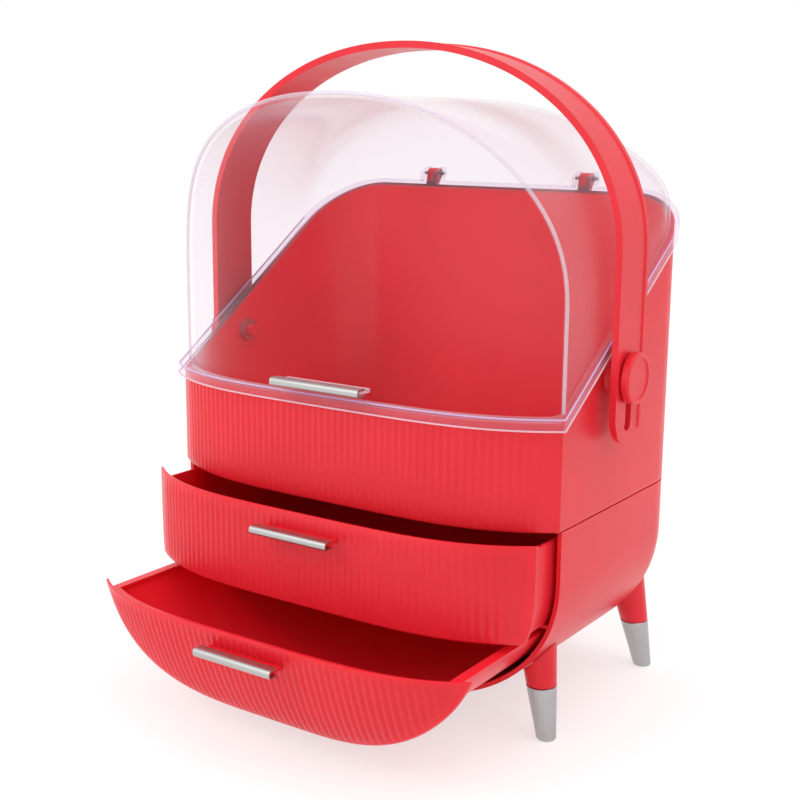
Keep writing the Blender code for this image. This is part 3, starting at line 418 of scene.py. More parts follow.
def legs():
    """Each leg's name, and its foot's width and depth and which way it leans in depth."""
    return [(f"{place}_{side}", (sign * foot_half(), depth, lean))
            for place, depth, lean in (("front", FOOT_FRONT, 1), ("back", FOOT_BACK, -1))
            for side, sign in (("right", 1), ("left", -1))]


def tab_corners():
    """Lowest width and depth of each of the four tabs inside the top of the housing."""
    right = BODY_INNER_HALF - TAB_SIZE
    return [(x, y) for y in (TAB_FRONT, TAB_BACK) for x in (right, -right - TAB_SIZE)]


def pivot_hole():
    return turned("hole", (-HANDLE_HALF, HANDLE_DEPTH, PIVOT_HEIGHT), (1, 0, 0),
                  [(0, STEM_RADIUS + GAP), (2 * HANDLE_HALF, STEM_RADIUS + GAP)])


def knuckle_outline():
    """The knuckle and its root down the back wall, as depths and heights."""
    wall = BODY_DEPTH - WALL / 2
    arc = [(HINGE_DEPTH + KNUCKLE_RADIUS * math.cos(turn), HINGE_HEIGHT + KNUCKLE_RADIUS * math.sin(turn))
           for turn in (math.pi * (1 - KNUCKLE_TURN * k / SMALL_STEPS) for k in range(SMALL_STEPS + 1))]
    return [(wall, HINGE_HEIGHT - KNUCKLE_ROOT), (wall, RIM_BACK - WALL), (BODY_DEPTH + GAP, RIM_BACK),
            *arc]


def pin_hole():
    reach = HINGE_HALF_SPAN + PIN_LENGTH
    return turned("hole", (-reach, HINGE_DEPTH, HINGE_HEIGHT), (1, 0, 0),
                  [(0, PIN_RADIUS + GAP), (2 * reach, PIN_RADIUS + GAP)], SMALL_STEPS)


def drawer_levels(low, high, inset):
    """Half widths and heights up a drawer's side, from its flat bottom."""
    half = BODY_INNER_HALF - DRAWER_SIDE_GAP
    flat = FLAT_HALF - DRAWER_FLANK_EASE
    curve = [(width - inset, height + inset * (FLANK_TOP - height) / (FLANK_TOP - floor_height()))
             for width, height in reversed(flank_curve(half, flat, floor_height()))]
    start = half_between(curve, low)
    inside = [(width, height) for width, height in curve if low < height < high]
    return [(start, low), *inside, (half_between(curve, high), high)]


def half_between(curve, height):
    return float(np.interp(height, [level for _, level in curve], [width for width, _ in curve]))


def floor_height():
    return HOUSING_BOTTOM + WALL + RUNNING_GAP


def drawer_loop(half, height, inset, front):
    """A loop of a drawer's box, its back and corners drawn inward and its front a distance behind the bow."""
    back = BODY_DEPTH - WALL - DRAWER_BACK_GAP - inset
    radius = BACK_CORNER - WALL - DRAWER_BACK_GAP - inset
    drawn = front + front_rake(height - inset)
    line = [(x, y + drawn) for x, y in front_line(half)]
    return at_height(line + back_line(half, back, radius), height)


def dome_half(y, inset):
    """Half width of the dome at a depth."""
    radius = BACK_CORNER - DOME_INSET - inset
    behind = min(max(y - (BODY_DEPTH - BACK_CORNER), 0), radius)
    return HALF_WIDTH - BACK_CORNER + math.sqrt(radius ** 2 - behind ** 2)


def dome_arch(y, inset):
    """Height at which the dome's arch starts and the height of its top, at a depth."""
    base = rim_height(y)
    back = BODY_DEPTH - DOME_INSET - inset
    share = min(max((y - DOME_BACK_START) / (back - DOME_BACK_START), 0), 1)
    left = DOME_BACK_LEFT + (1 - DOME_BACK_LEFT) * math.sqrt(1 - share ** 2)
    top = base + (DOME_TOP - inset - base) * left
    return min(max(DOME_SPRING, base + 2 * FLANGE_THICK), top - FLANGE_THICK / 2), top


def dome_solid(name, inset, rise):
    """The dome's shape drawn inward, standing at a rise above the rim's plane."""
    back = BODY_DEPTH - DOME_INSET - inset
    rounding = [DOME_BACK_START + (back - DOME_BACK_START) * math.sin(math.pi / 2 * k / DOME_BACK_STEPS)
                for k in range(DOME_BACK_STEPS + 1)]
    straight = [FRONT_EDGE, BODY_DEPTH / 4, BODY_DEPTH / 2]
    turns = [math.pi * k / ARCH_STEPS for k in range(ARCH_STEPS + 1)]
    shares = [math.copysign(abs(math.cos(turn)) ** (2 / DOME_POWER), math.cos(turn)) for turn in turns]
    ups = [abs(math.sin(turn)) ** (2 / DOME_POWER) if 0 < k < ARCH_STEPS else 0
           for k, turn in enumerate(turns)]
    shape = bmesh.new()
    arches, bottoms = [], []
    for y in [None, *straight, *rounding]:
        spring, top = dome_arch(0 if y is None else y, inset)
        half = dome_half(0 if y is None else y, inset)
        arch, bottom = [], []
        for share, up in zip(shares, ups):
            x = half * share
            depth = float(front_depth(x, -DOME_INSET - inset)) if y is None else y
            arch.append(shape.verts.new((x, depth, spring + (top - spring) * up)))
            bottom.append(shape.verts.new((x, depth, rim_height(depth) + rise)))
        arches.append(arch)
        bottoms.append(bottom)
    for line, after in zip(arches, arches[1:]):
        for k in range(ARCH_STEPS):
            shape.faces.new((line[k], line[k + 1], after[k + 1], after[k]))
    for line, after in zip(bottoms, bottoms[1:]):
        for k in range(ARCH_STEPS):
            shape.faces.new((line[k], line[k + 1], after[k + 1], after[k]))
    for end in (0, -1):
        for k in range(ARCH_STEPS):
            shape.faces.new((arches[end][k], arches[end][k + 1], bottoms[end][k + 1], bottoms[end][k]))
        for arch, after, bottom, under in zip(arches, arches[1:], bottoms, bottoms[1:]):
            shape.faces.new((arch[end], after[end], under[end], bottom[end]))
    return closed_body(name, shape)


def ear_outline():
    """An ear round the hinge pin and its foot into the lid's back, as depths and heights."""
    foot = BODY_DEPTH - EAR_FOOT / 2
    arc = [(HINGE_DEPTH + EAR_RADIUS * math.cos(turn), HINGE_HEIGHT + EAR_RADIUS * math.sin(turn))
           for turn in (math.pi / 2 - math.pi * k / SMALL_STEPS for k in range(SMALL_STEPS + 1))]
    low = HINGE_HEIGHT - EAR_RADIUS
    return [(foot, low - FLANGE_THICK / 2), (foot, HINGE_HEIGHT + GAP), *arc,
            (BODY_DEPTH - FLANGE_THICK / 2, low)]


def handle_path():
    """The handle's line as widths and heights for its outer face, from the right end to the left."""
    points = [(1, HANDLE_END_CENTRE - HANDLE_END_RADIUS - OVERRUN), (1, PIVOT_HEIGHT)]
    for k in range(ARCH_STEPS + 1):
        turn = math.pi * k / ARCH_STEPS
        across = math.copysign(abs(math.cos(turn)) ** (2 / HANDLE_POWER), math.cos(turn))
        up = abs(math.sin(turn)) ** (2 / HANDLE_POWER) if 0 < k < ARCH_STEPS else 0
        points.append((across, HANDLE_SPRING, up))
    return points + [(-1, PIVOT_HEIGHT), (-1, HANDLE_END_CENTRE - HANDLE_END_RADIUS - OVERRUN)]


def slot_outline():
    points = []
    for centre, first in ((PIVOT_HEIGHT, 0), (SLOT_LOW, math.pi)):
        for k in range(SMALL_STEPS // 2 + 1):
            turn = first + math.pi * k / (SMALL_STEPS // 2)
            points.append((HANDLE_DEPTH + SLOT_RADIUS * math.cos(turn),
                           centre + SLOT_RADIUS * math.sin(turn)))
    return points


# Looks: roundings and fine steps
RIB_COLUMNS = 8  # columns across each rib
RIB_LOOK = 0.7 * MM
BEAD_RADIUS = 1 * MM
EDGE_ROUND = 0.8 * MM
FACE_STEPS = 26
PANEL_ROUND = 0.7 * MM
# radius of the opaque beads that paint the highlights along the flange's edges
HIGHLIGHT_LINE_RADIUS = 0.5 * MM
FILLET_STEPS = 4
SMOOTH_ANGLE = math.radians(40)
NEARLY_STRAIGHT = math.radians(179)
SIDE_SHARE = 0.45  # of a side, the most that a rounded corner takes
CLEAR_POWER = 4  # how fast the clear plastic's gloss grows towards grazing angles


def fillet(points, radii, steps=FILLET_STEPS):
    """Rounds the corners of a closed outline, by one radius or one for each, as far as its sides allow."""
    made = []
    count = len(points)
    for k in range(count):
        radius = radii[k] if isinstance(radii, list) else radii
        before, here, after = (Vector(points[(k + d) % count]) for d in (-1, 0, 1))
        one, two = before - here, after - here
        angle = one.angle(two)
        if angle > NEARLY_STRAIGHT or radius <= 0:
            made.append(tuple(here))
            continue
        reach = min(radius / math.tan(angle / 2), one.length * SIDE_SHARE, two.length * SIDE_SHARE)
        start, end = here + one.normalized() * reach, here + two.normalized() * reach
        for step in range(steps + 1):
            share = step / steps
            made.append(tuple(start.lerp(here, share).lerp(here.lerp(end, share), share)))
    return made


def fine_columns(half):
    """Widths across a ribbed front from right to left, and how far the rib stands out at each."""
    ribbed = half - RIB_MARGIN
    ribs = max(2, round(2 * ribbed / RIB_PITCH))
    margin = np.linspace(half, ribbed, 7)[:-1]
    inside = np.linspace(ribbed, -ribbed, ribs * RIB_COLUMNS + 1)
    out = np.zeros(len(inside) + 2 * len(margin))
    wave = 0.5 - 0.5 * np.cos(np.arange(len(inside)) * math.tau / RIB_COLUMNS)
    fade = np.clip((ribbed - np.abs(inside)) / (2 * RIB_PITCH), 0, 1)
    out[len(margin):len(margin) + len(inside)] = RIB_LOOK * wave * (0.4 + 0.6 * fade)
    return np.concatenate([margin, inside, -margin[::-1]]), out


def finish(body, look, ride, *nodes, slot=None):
    """Shades a piece, gives it its material and lets it move with a body in place of its CAD nodes."""
    body.data.materials.clear()
    body.data.materials.append(look)
    body.data.shade_smooth()
    body.data.set_sharp_from_angle(angle=SMOOTH_ANGLE)
    body.location.y = centre_shift()
    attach(body, ride)
    if nodes:
        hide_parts(*nodes)
    return body


def tub_fine_loop(height, offset=0, ribs=0, rise=0):
    widths, out = fine_columns(HALF_WIDTH)
    scale = (HALF_WIDTH + offset) / HALF_WIDTH
    front = [(float(x * scale), float(front_depth(x * scale, offset) - rib * ribs))
             for x, rib in zip(widths, out)]
    outline = front + back_line(HALF_WIDTH + offset, BODY_DEPTH + offset, BACK_CORNER + offset)
    return on_rim(outline, rise) if height is None else at_height(outline, height)


def tub_piece(look):
    rounding = [(-EDGE_ROUND * (1 - math.cos(turn)), -EDGE_ROUND * (1 - math.sin(turn)))
                for turn in (math.pi / 2 * k / FILLET_STEPS for k in range(FILLET_STEPS + 1))]
    loops = [tub_fine_loop(TUB_BOTTOM, -EDGE_ROUND),
             tub_fine_loop(TUB_BOTTOM + EDGE_ROUND / 2, -EDGE_ROUND / 4),
             tub_fine_loop(TUB_BOTTOM + EDGE_ROUND, 0, 0), tub_fine_loop(TUB_BOTTOM + RIB_FADE, 0, 0.6),
             tub_fine_loop(TUB_BOTTOM + 2 * RIB_FADE, 0, 1), tub_fine_loop(RIM_FRONT - 2 * RIB_FADE, 0, 1),
             tub_fine_loop(RIM_FRONT - RIB_FADE, 0, 0.8)]
    loops += [tub_fine_loop(None, inward, 0, drop) for inward, drop in rounding]
    loops += [tub_fine_loop(None, -WALL - inward, 0, drop) for inward, drop in reversed(rounding)]
    floor = TUB_BOTTOM + FLOOR_WALL
    for k in range(FILLET_STEPS + 1):
        turn = math.pi / 2 * k / FILLET_STEPS
        loops.append(tub_fine_loop(floor + 4 * EDGE_ROUND * (1 - math.sin(turn)),
                -WALL - 4 * EDGE_ROUND * (1 - math.cos(turn))))
    body = loop_solid("tub_shell", loops)
    cut(body, pivot_hole())
    return finish(body, look, "cabinet", "upper_tub", slot="red_plastic")


def tub_trims(look):
    for side, name in ((1, "right"), (-1, "left")):
        start = (side * (HALF_WIDTH - WALL / 2), HANDLE_DEPTH, PIVOT_HEIGHT)
        reach = HANDLE_INNER - PIVOT_BOSS_GAP - HALF_WIDTH + WALL / 2
        boss = turned(f"pivot_boss_{name}", start, (side, 0, 0), [
            (0, PIVOT_BOSS_RADIUS * 1.1), (WALL / 2, PIVOT_BOSS_RADIUS * 1.1), (WALL, PIVOT_BOSS_RADIUS),
            (reach - GAP, PIVOT_BOSS_RADIUS), (reach, PIVOT_BOSS_RADIUS - GAP)])
        cut(boss, pivot_hole())
        finish(boss, look, "cabinet", slot="red_plastic")
        middle = side * HINGE_HALF_SPAN
        knuckle = prism_x(f"knuckle_{name}", knuckle_outline(), middle - KNUCKLE_WIDTH / 2,
                          middle + KNUCKLE_WIDTH / 2)
        cut(knuckle, pin_hole())
        finish(knuckle, look, "cabinet", slot="red_plastic")
    for k, (x, y) in enumerate(tab_corners()):
        post = turned(f"floor_boss_{k + 1}", (x + TAB_SIZE / 2, y + TAB_SIZE / 2,
                TUB_BOTTOM + FLOOR_WALL / 2), (0, 0, 1),
                      [(0, BOSS_RADIUS), (FLOOR_WALL / 2 + BOSS_HEIGHT - GAP, BOSS_RADIUS),
                       (FLOOR_WALL / 2 + BOSS_HEIGHT, BOSS_RADIUS - GAP)])
        finish(post, look, "cabinet", slot="red_plastic")


def housing_piece(look):
    body = housing_solid("housing_shell", 0, 0, SEAM)
    cut(body, housing_solid("hollow", -WALL, -OVERRUN, SEAM + OVERRUN))
    finish(body, look, "cabinet", "lower_housing", slot="red_plastic")
    for k, (x, y) in enumerate(tab_corners()):
        lap = math.copysign(SHELF_GROOVE, x)
        tab = box(f"tab_{k + 1}", (x + min(lap, 0), y, SEAM - TAB_STEP - TAB_THICK),
                  (x + TAB_SIZE + max(lap, 0), y + TAB_SIZE, SEAM - TAB_STEP))
        finish(tab, look, "cabinet", slot="red_plastic")


def fine_front(name, low, high):
    """A drawer's ribbed front with rounded edges."""
    tip = max(high - FRONT_TIP, HOUSING_BOTTOM)
    half = flank_half(tip) - FRONT_SIDE_GAP
    widths, out = fine_columns(half)
    loops = []
    for x, rib in zip(map(float, widths), map(float, out)):
        edge = float(front_depth(x))
        bottom = max(low, min(flank_low(abs(x) + FRONT_SIDE_GAP), tip))
        room = high - bottom
        chamfer = min(FRONT_CHAMFER, room / 2)
        fade = min(2 * RIB_FADE, room / 3)
        lip = min(PANEL_ROUND, room / 6)
        run = room - chamfer - lip
        face = []
        for k in range(FACE_STEPS + 1):
            level = high - lip - run * math.sin(math.pi / 2 * k / FACE_STEPS)
            near = min((high - lip - level) / fade, (level - bottom - chamfer) / fade, 1)
            face.append((x, edge - rib * math.sin(math.pi / 2 * max(near, 0)) + front_rake(level), level))
        behind = [(x, edge + FRONT_WALL + front_rake(level), level) for _, _, level in reversed(face)]
        foot = edge + front_rake(bottom)
        loops.append([
            (x, edge + lip, high), (x, edge + lip * 0.3, high - lip * 0.3), *face,
            (x, foot + chamfer * 0.3, bottom + chamfer * 0.4), (x, foot + chamfer, bottom),
            (x, foot + FRONT_WALL, bottom),
            *behind, (x, edge + FRONT_WALL - lip * 0.3, high - lip * 0.3),
            (x, edge + FRONT_WALL - lip, high)])
    return loop_solid(name, loops)


def drawer_pieces(name, look, lightened_tray_look, metal, low, high, front_low, front_high, opened, ledge, ride):
    """A drawer's front, box, lip and pull in their places, standing open by a distance."""
    front = fine_front(f"{name}_front", front_low, front_high)
    outer = [drawer_loop(width, height, 0, FRONT_WALL - DRAWER_FRONT_SINK)
             for width, height in drawer_levels(low, high - EDGE_ROUND, 0)]
    outer.append(drawer_loop(drawer_levels(low, high, 0)[-1][0] - EDGE_ROUND * 0.3,
            high - EDGE_ROUND * 0.3, EDGE_ROUND * 0.3,
            FRONT_WALL - DRAWER_FRONT_SINK + EDGE_ROUND * 0.1))
    levels = drawer_levels(low + DRAWER_WALL, high - DRAWER_LEDGE_THICK if ledge else high, DRAWER_WALL)
    inner = [drawer_loop(width, height, DRAWER_WALL, DRAWER_FRONT_SKIN)
             for width, height in reversed(levels)]
    if ledge:
        width = levels[-1][0] - ledge
        inner = [drawer_loop(width, level, DRAWER_WALL + ledge, DRAWER_FRONT_SKIN + ledge)
                 for level in (high, high - DRAWER_LEDGE_THICK)] + inner
    tray = loop_solid(f"{name}_tray", outer + inner)
    middle = front_high - LIP_DROP
    half = DRAWER_PULL_WIDTH / 2 - CAP_END
    face = front_rake(middle) - FRONT_EDGE - BOW_DEPTH
    outline = fillet([(face - LIP_REACH, middle - LIP_THICK / 2),
                      (face - LIP_REACH, middle + LIP_THICK / 2),
                      (face + FRONT_WALL / 2, middle + LIP_THICK / 2),
                      (face + FRONT_WALL / 2, middle - LIP_THICK / 2)],
                     LIP_THICK / 4)
    lip = prism_x(f"{name}_lip", outline, -half, half)
    cap = cap_body(f"{name}_cap", DRAWER_PULL_WIDTH, face - LIP_REACH, middle)
    for thing in (front, tray, lip, cap):
        thing.data.transform(Matrix.Translation((0, -opened, 0)))
    finish(front, look, ride, name, slot="drawer_plastic")
    # the box takes a lighter copy of the drawer red: painted light against the shade inside the drawers
    finish(tray, lightened_tray_look, ride, slot="drawer_plastic")
    finish(lip, look, ride, slot="drawer_plastic")
    finish(cap, metal, ride, f"{name}_pull", slot="satin_steel")


def cap_body(name, width, tip, middle):
    """The bent metal channel over a lip, with soft bends and edges."""
    inner = LIP_THICK / 2 + GAP
    outer = inner + CAP_THICK
    front, back = tip - GAP, tip - GAP + CAP_DEPTH
    outline = fillet([(back, middle + inner), (back, middle + outer), (front - CAP_THICK, middle + outer),
                      (front - CAP_THICK, middle - outer), (back, middle - outer), (back, middle - inner),
                      (front, middle - inner), (front, middle + inner)],
                     [CAP_THICK * share for share in (0.4, 0.4, 2.2, 2.2, 0.4, 0.4, 0.9, 0.9)], 8)
    body = prism_x(name, outline, -width / 2, width / 2)
    bevel = body.modifiers.new("edges", "BEVEL")
    bevel.width = CAP_THICK * 0.15
    bevel.segments = 2
    bevel.limit_method = "ANGLE"
    bevel.angle_limit = math.radians(60)
    return body


def flange_path(offset):
    """Round the whole rim at an offset, from the right end of the front over the left side."""
    half = HALF_WIDTH + offset
    back = back_line(half, BODY_DEPTH + offset, BACK_CORNER + offset)
    return [*front_line(half, offset), (-half, SKIRT_END), *back, (half, SKIRT_END)]


def flange_shares():
    """How much of the skirt is there at each point of the path: all of it ahead of the back corners."""
    corner = [0.5 + 0.5 * math.cos(math.pi * k / CORNER_STEPS) for k in range(CORNER_STEPS + 1)]
    return [1] * (len(flange_path(0)) - 2 * len(corner) - 1) + corner + corner[::-1] + [1]


def flange_body():
    """The lid's flange and skirt in one ring, which draws in round the back corners."""
    inner = -DOME_INSET - FLANGE_STEP
    top = GAP + FLANGE_THICK
    full = [(inner, GAP), (SKIRT_GAP, GAP), (SKIRT_GAP, -SKIRT_DROP), (FLANGE_REACH - 2 * GAP, -SKIRT_DROP),
            (FLANGE_REACH, 2 * GAP - SKIRT_DROP), (FLANGE_REACH, top - 2 * GAP),
            (FLANGE_REACH - 2 * GAP, top),
            (inner, top)]
    drawn = [(inner, GAP), (-4 * GAP, GAP), (-3 * GAP, GAP), (-2 * GAP, GAP), (-GAP, 2 * GAP),
             (-GAP, top - GAP),
             (-2 * GAP, top), (inner, top)]
    sections = []
    for k, share in enumerate(flange_shares()):
        section = []
        for (out, rise), (less, low) in zip(full, drawn):
            x, y = flange_path(out * share + less * (1 - share))[k]
            section.append((x, y, rim_height(y) + rise * share + low * (1 - share)))
        sections.append(section)
    return ring_solid("clear_flange", sections)


def ring_solid(name, sections):
    """A closed ring through sections with as many points each."""
    shape = bmesh.new()
    rings = [[shape.verts.new(point) for point in section] for section in sections]
    for here, there in zip(rings, [*rings[1:], rings[0]]):
        for k in range(len(here)):
            after = (k + 1) % len(here)
            shape.faces.new((here[k], here[after], there[after], there[k]))
    return closed_body(name, shape)


def flange_highlight_line(name, out, rise):
    """A fine opaque bead along the front and sides of the flange: a painted highlight where light gathers in
    its edge.
    """
    shares = flange_shares()
    line = [(x, y, rim_height(y) + rise) for (x, y), share in zip(flange_path(out), shares) if share == 1]
    return tube(name, [*line[-2:], *line[:-2]], HIGHLIGHT_LINE_RADIUS)


def tube(name, line, radius):
    loops = []
    for before, here, after in zip([line[0], *line], line, [*line[1:], line[-1]]):
        along = (Vector(after) - Vector(before)).normalized()
        side = along.cross(Vector((0, 0, 1))).normalized()
        up = side.cross(along)
        loops.append([tuple(Vector(here) + (side * math.cos(turn) + up * math.sin(turn)) * radius)
                      for turn in (math.tau * k / 10 for k in range(10))])
    return loop_solid(name, loops)


def lid_pieces(look, edge, flange, lines, metal):
    body = dome_solid("clear_dome", 0, GAP)
    cut(body, dome_solid("hollow", LID_WALL, -OVERRUN))
    finish(body, look, "lid", "lid_dome", slot="clear_plastic")
    finish(flange_body(), flange, "lid", slot="clear_plastic")
    # painted highlights: opaque beads along the flange's lower and upper edges, where light gathers in the
    # clear plastic
    finish(flange_highlight_line("flange_low_highlight", FLANGE_REACH - HIGHLIGHT_LINE_RADIUS, HIGHLIGHT_LINE_RADIUS - SKIRT_DROP),
           lines[0], "lid",
           slot="clear_plastic")
    finish(flange_highlight_line("flange_top_highlight", FLANGE_REACH - 2 * HIGHLIGHT_LINE_RADIUS,
            GAP + FLANGE_THICK - HIGHLIGHT_LINE_RADIUS / 2), lines[1],
           "lid", slot="clear_plastic")
    half = LID_PULL_WIDTH / 2 - CAP_END
    face = -FRONT_EDGE - BOW_DEPTH
    lip = box("clear_lip", (-half, face - LIP_REACH, LID_LIP_HEIGHT - LIP_THICK / 2),
              (half, face + DOME_INSET / 2, LID_LIP_HEIGHT + LIP_THICK / 2))
    # the lip takes the milky edge look: a painted highlight in its thick clear edge
    finish(lip, edge, "lid", slot="clear_plastic")
    near = KNUCKLE_WIDTH / 2 + GAP
    for middle, side in ((-HINGE_HALF_SPAN, "left"), (HINGE_HALF_SPAN, "right")):
        for low, place in ((middle - near - EAR_THICK, "one"), (middle + near, "two")):
            ear = prism_x(f"ear_{side}_{place}", ear_outline(), low, low + EAR_THICK)
            cut(ear, pin_hole())
            finish(ear, flange, "lid", slot="clear_plastic")
    # the arch bead takes the milky edge look: a painted highlight along the dome's front edge
    finish(arch_edge_highlight_bead(), edge, "lid", slot="clear_plastic")
    cap = cap_body("lid_cap", LID_PULL_WIDTH, face - LIP_REACH, LID_LIP_HEIGHT)
    finish(cap, metal, "lid", "lid_pull", slot="satin_steel")


def arch_edge_highlight_bead():
    """The thick front edge of the dome, a soft bead along the arch; its milky whitish look is a painted
    highlight along the edge.
    """
    spring, top = dome_arch(0, 0)
    half = dome_half(0, 0)
    line = [(half, float(front_depth(half, -DOME_INSET)), rim_height(0) + FLANGE_THICK)]
    for k in range(ARCH_STEPS + 1):
        turn = math.pi * k / ARCH_STEPS
        x = half * math.copysign(abs(math.cos(turn)) ** (2 / DOME_POWER), math.cos(turn))
        up = abs(math.sin(turn)) ** (2 / DOME_POWER)
        line.append((x, float(front_depth(x, -DOME_INSET)), spring + (top - spring) * up))
    line.append((-half, line[0][1], line[0][2]))
    loops = []
    for before, here, after in zip([line[0], *line], line, [*line[1:], line[-1]]):
        along = (Vector(after) - Vector(before)).normalized()
        out = along.cross(Vector((0, 1, 0))).normalized()
        deep = along.cross(out)
        centre = Vector(here) - out * BEAD_RADIUS * 0.8 - deep * BEAD_RADIUS * 0.5
        loops.append([tuple(centre + (out * math.cos(turn) + deep * math.sin(turn)) * BEAD_RADIUS)
                      for turn in (math.tau * k / 12 for k in range(12))])
    return loop_solid("arch_edge_highlight_bead", loops)


def handle_piece(look):
    wide = HANDLE_WIDTH / 2 + GAP
    groove = HANDLE_WIDTH / 2 - HANDLE_BORDER
    section = [(-wide, HANDLE_THICK), (wide, HANDLE_THICK), (wide, 0), (groove + HANDLE_CHANNEL, 0),
               (groove, HANDLE_CHANNEL), (-groove, HANDLE_CHANNEL), (-groove - HANDLE_CHANNEL, 0),
               (-wide, 0)]
    loops = []
    for across, height, *up in handle_path():
        rise = up[0] if up else 0
        loops.append([(across * (HANDLE_HALF - inward), HANDLE_DEPTH + y,
                       height + rise * (HANDLE_TOP - inward - HANDLE_SPRING)) for y, inward in section])
    body = loop_solid("handle_strap", loops)
    arc = [(HANDLE_DEPTH + HANDLE_END_RADIUS * math.cos(turn),
            HANDLE_END_CENTRE + HANDLE_END_RADIUS * math.sin(turn))
           for turn in (-math.pi * k / ROUND_STEPS for k in range(ROUND_STEPS + 1))]
    high = HANDLE_TOP + OVERRUN
    outline = [(HANDLE_DEPTH - HANDLE_END_RADIUS, high), (HANDLE_DEPTH + HANDLE_END_RADIUS, high), *arc]
    combine(body, prism_x("ends", outline, -HALF_WIDTH - HANDLE_HALF, HALF_WIDTH + HANDLE_HALF),
            "INTERSECT")
    cut(body, prism_x("slots", slot_outline(), -HALF_WIDTH - HANDLE_HALF, HALF_WIDTH + HANDLE_HALF))
    bevel = body.modifiers.new("edges", "BEVEL")
    bevel.width = EDGE_ROUND * 0.6
    bevel.segments = 3
    bevel.limit_method = "ANGLE"
    bevel.angle_limit = math.radians(50)
    bevel.use_clamp_overlap = True
    return finish(body, look, "handle", "carry_handle", slot="red_plastic")


def knob_pieces(look):
    for side, sign in (("right", 1), ("left", -1)):
        start = BODY_INNER_HALF - STEM_INSIDE
        reach = HANDLE_HALF + GAP - start
        edge = []
        for k in range(FILLET_STEPS * 2 + 1):
            turn = math.pi / 2 * k / (FILLET_STEPS * 2)
            edge.append((reach + KNOB_THICK - 1.6 * KNOB_EDGE * (1 - math.sin(turn)),
                         KNOB_RADIUS - 1.6 * KNOB_EDGE * (1 - math.cos(turn))))
        stations = [(0, STEM_RADIUS), (reach, STEM_RADIUS), (reach, KNOB_RADIUS - KNOB_EDGE),
                    (reach + KNOB_EDGE, KNOB_RADIUS),
                    *edge, (reach + KNOB_THICK, KNOB_RADIUS - KNOB_RIM),
                    (reach + KNOB_THICK - KNOB_DISH * 0.3, KNOB_RADIUS - KNOB_RIM - KNOB_DISH * 0.3),
                    (reach + KNOB_THICK - KNOB_DISH, KNOB_RADIUS - KNOB_RIM - KNOB_DISH)]
        knob = turned(f"pivot_knob_{side}", (sign * start, HANDLE_DEPTH, PIVOT_HEIGHT), (sign, 0, 0),
                      stations)
        finish(knob, look, "handle_pivots", f"knob_{side}", slot="red_plastic")


def leg_pieces(look, metal):
    for name, leg in legs():
        cone = leg_solid(f"cone_{name}", leg, [
            (TIP_LENGTH, LEG_RADIUS - GAP), (TIP_LENGTH + GAP, LEG_RADIUS),
            (TIP_LENGTH + LEG_LENGTH, LEG_RADIUS + LEG_TAPER * LEG_LENGTH)])
        cut(cone, housing_solid("seat", GAP, 0, SEAM))
        finish(cone, look, "cabinet", f"leg_cone_{name}", slot="red_plastic")
        foot = []
        for k in range(FILLET_STEPS * 2 + 1):
            turn = math.pi / 2 * k / (FILLET_STEPS * 2)
            foot.append((TIP_ROUND * (1 - math.cos(turn)), TIP_RADIUS - TIP_ROUND * (1 - math.sin(turn))))
        tip = leg_solid(f"tip_{name}", leg, [*foot, (TIP_LENGTH - 2 * GAP, LEG_RADIUS),
                (TIP_LENGTH - GAP, LEG_RADIUS - GAP),
                (TIP_LENGTH - GAP, SPIGOT_RADIUS),
                (TIP_LENGTH + SPIGOT_LENGTH, SPIGOT_RADIUS)])
        finish(tip, metal, "cabinet", f"leg_tip_{name}", slot="chrome")


def new_material(name):
    made = bpy.data.materials.new(name)
    made.use_nodes = True
    nodes = made.node_tree.nodes
    return made, nodes, made.node_tree.links, nodes["Principled BSDF"]


def set_inputs(node, values):
    for name, value in values.items():
        node.inputs[name].default_value = value


def noise(nodes, links, scale, detail=4, roughness=0.55, stretch=(1, 1, 1)):
    """A noise in the object's own coordinates."""
    place = nodes.new("ShaderNodeTexCoord")
    mapping = nodes.new("ShaderNodeMapping")
    mapping.inputs["Scale"].default_value = stretch
    made = nodes.new("ShaderNodeTexNoise")
    set_inputs(made, {"Scale": scale, "Detail": detail, "Roughness": roughness})
    links.new(place.outputs["Object"], mapping.inputs["Vector"])
    links.new(mapping.outputs["Vector"], made.inputs["Vector"])
    return made.outputs["Fac"]


def math_node(nodes, links, operation, *sources):
    made = nodes.new("ShaderNodeMath")
    made.operation = operation
    for source, socket in zip(sources, made.inputs):
        links.new(source, socket)
    return made


def between(nodes, links, share, low, high):
    """A number that follows a noise between two values."""
    made = nodes.new("ShaderNodeMapRange")
    set_inputs(made, {"To Min": low, "To Max": high})
    links.new(share, made.inputs["Value"])
    return made.outputs["Result"]


def two_colours(nodes, links, share, first, second, low=0.35, high=0.65):
    made = nodes.new("ShaderNodeValToRGB")
    made.color_ramp.elements[0].position = low
    made.color_ramp.elements[1].position = high
    made.color_ramp.elements[0].color = (*first, 1)
    made.color_ramp.elements[1].color = (*second, 1)
    links.new(share, made.inputs["Fac"])
    return made.outputs["Color"]


def add_bump(nodes, links, shader, heights, distance):
    """Bumps from pairs of a height and a strength, one on top of the other."""
    last = None
    for height, strength in heights:
        bump = nodes.new("ShaderNodeBump")
        set_inputs(bump, {"Strength": strength, "Distance": distance})
        links.new(height, bump.inputs["Height"])
        if last:
            links.new(last, bump.inputs["Normal"])
        last = bump.outputs["Normal"]
    links.new(last, shader.inputs["Normal"])


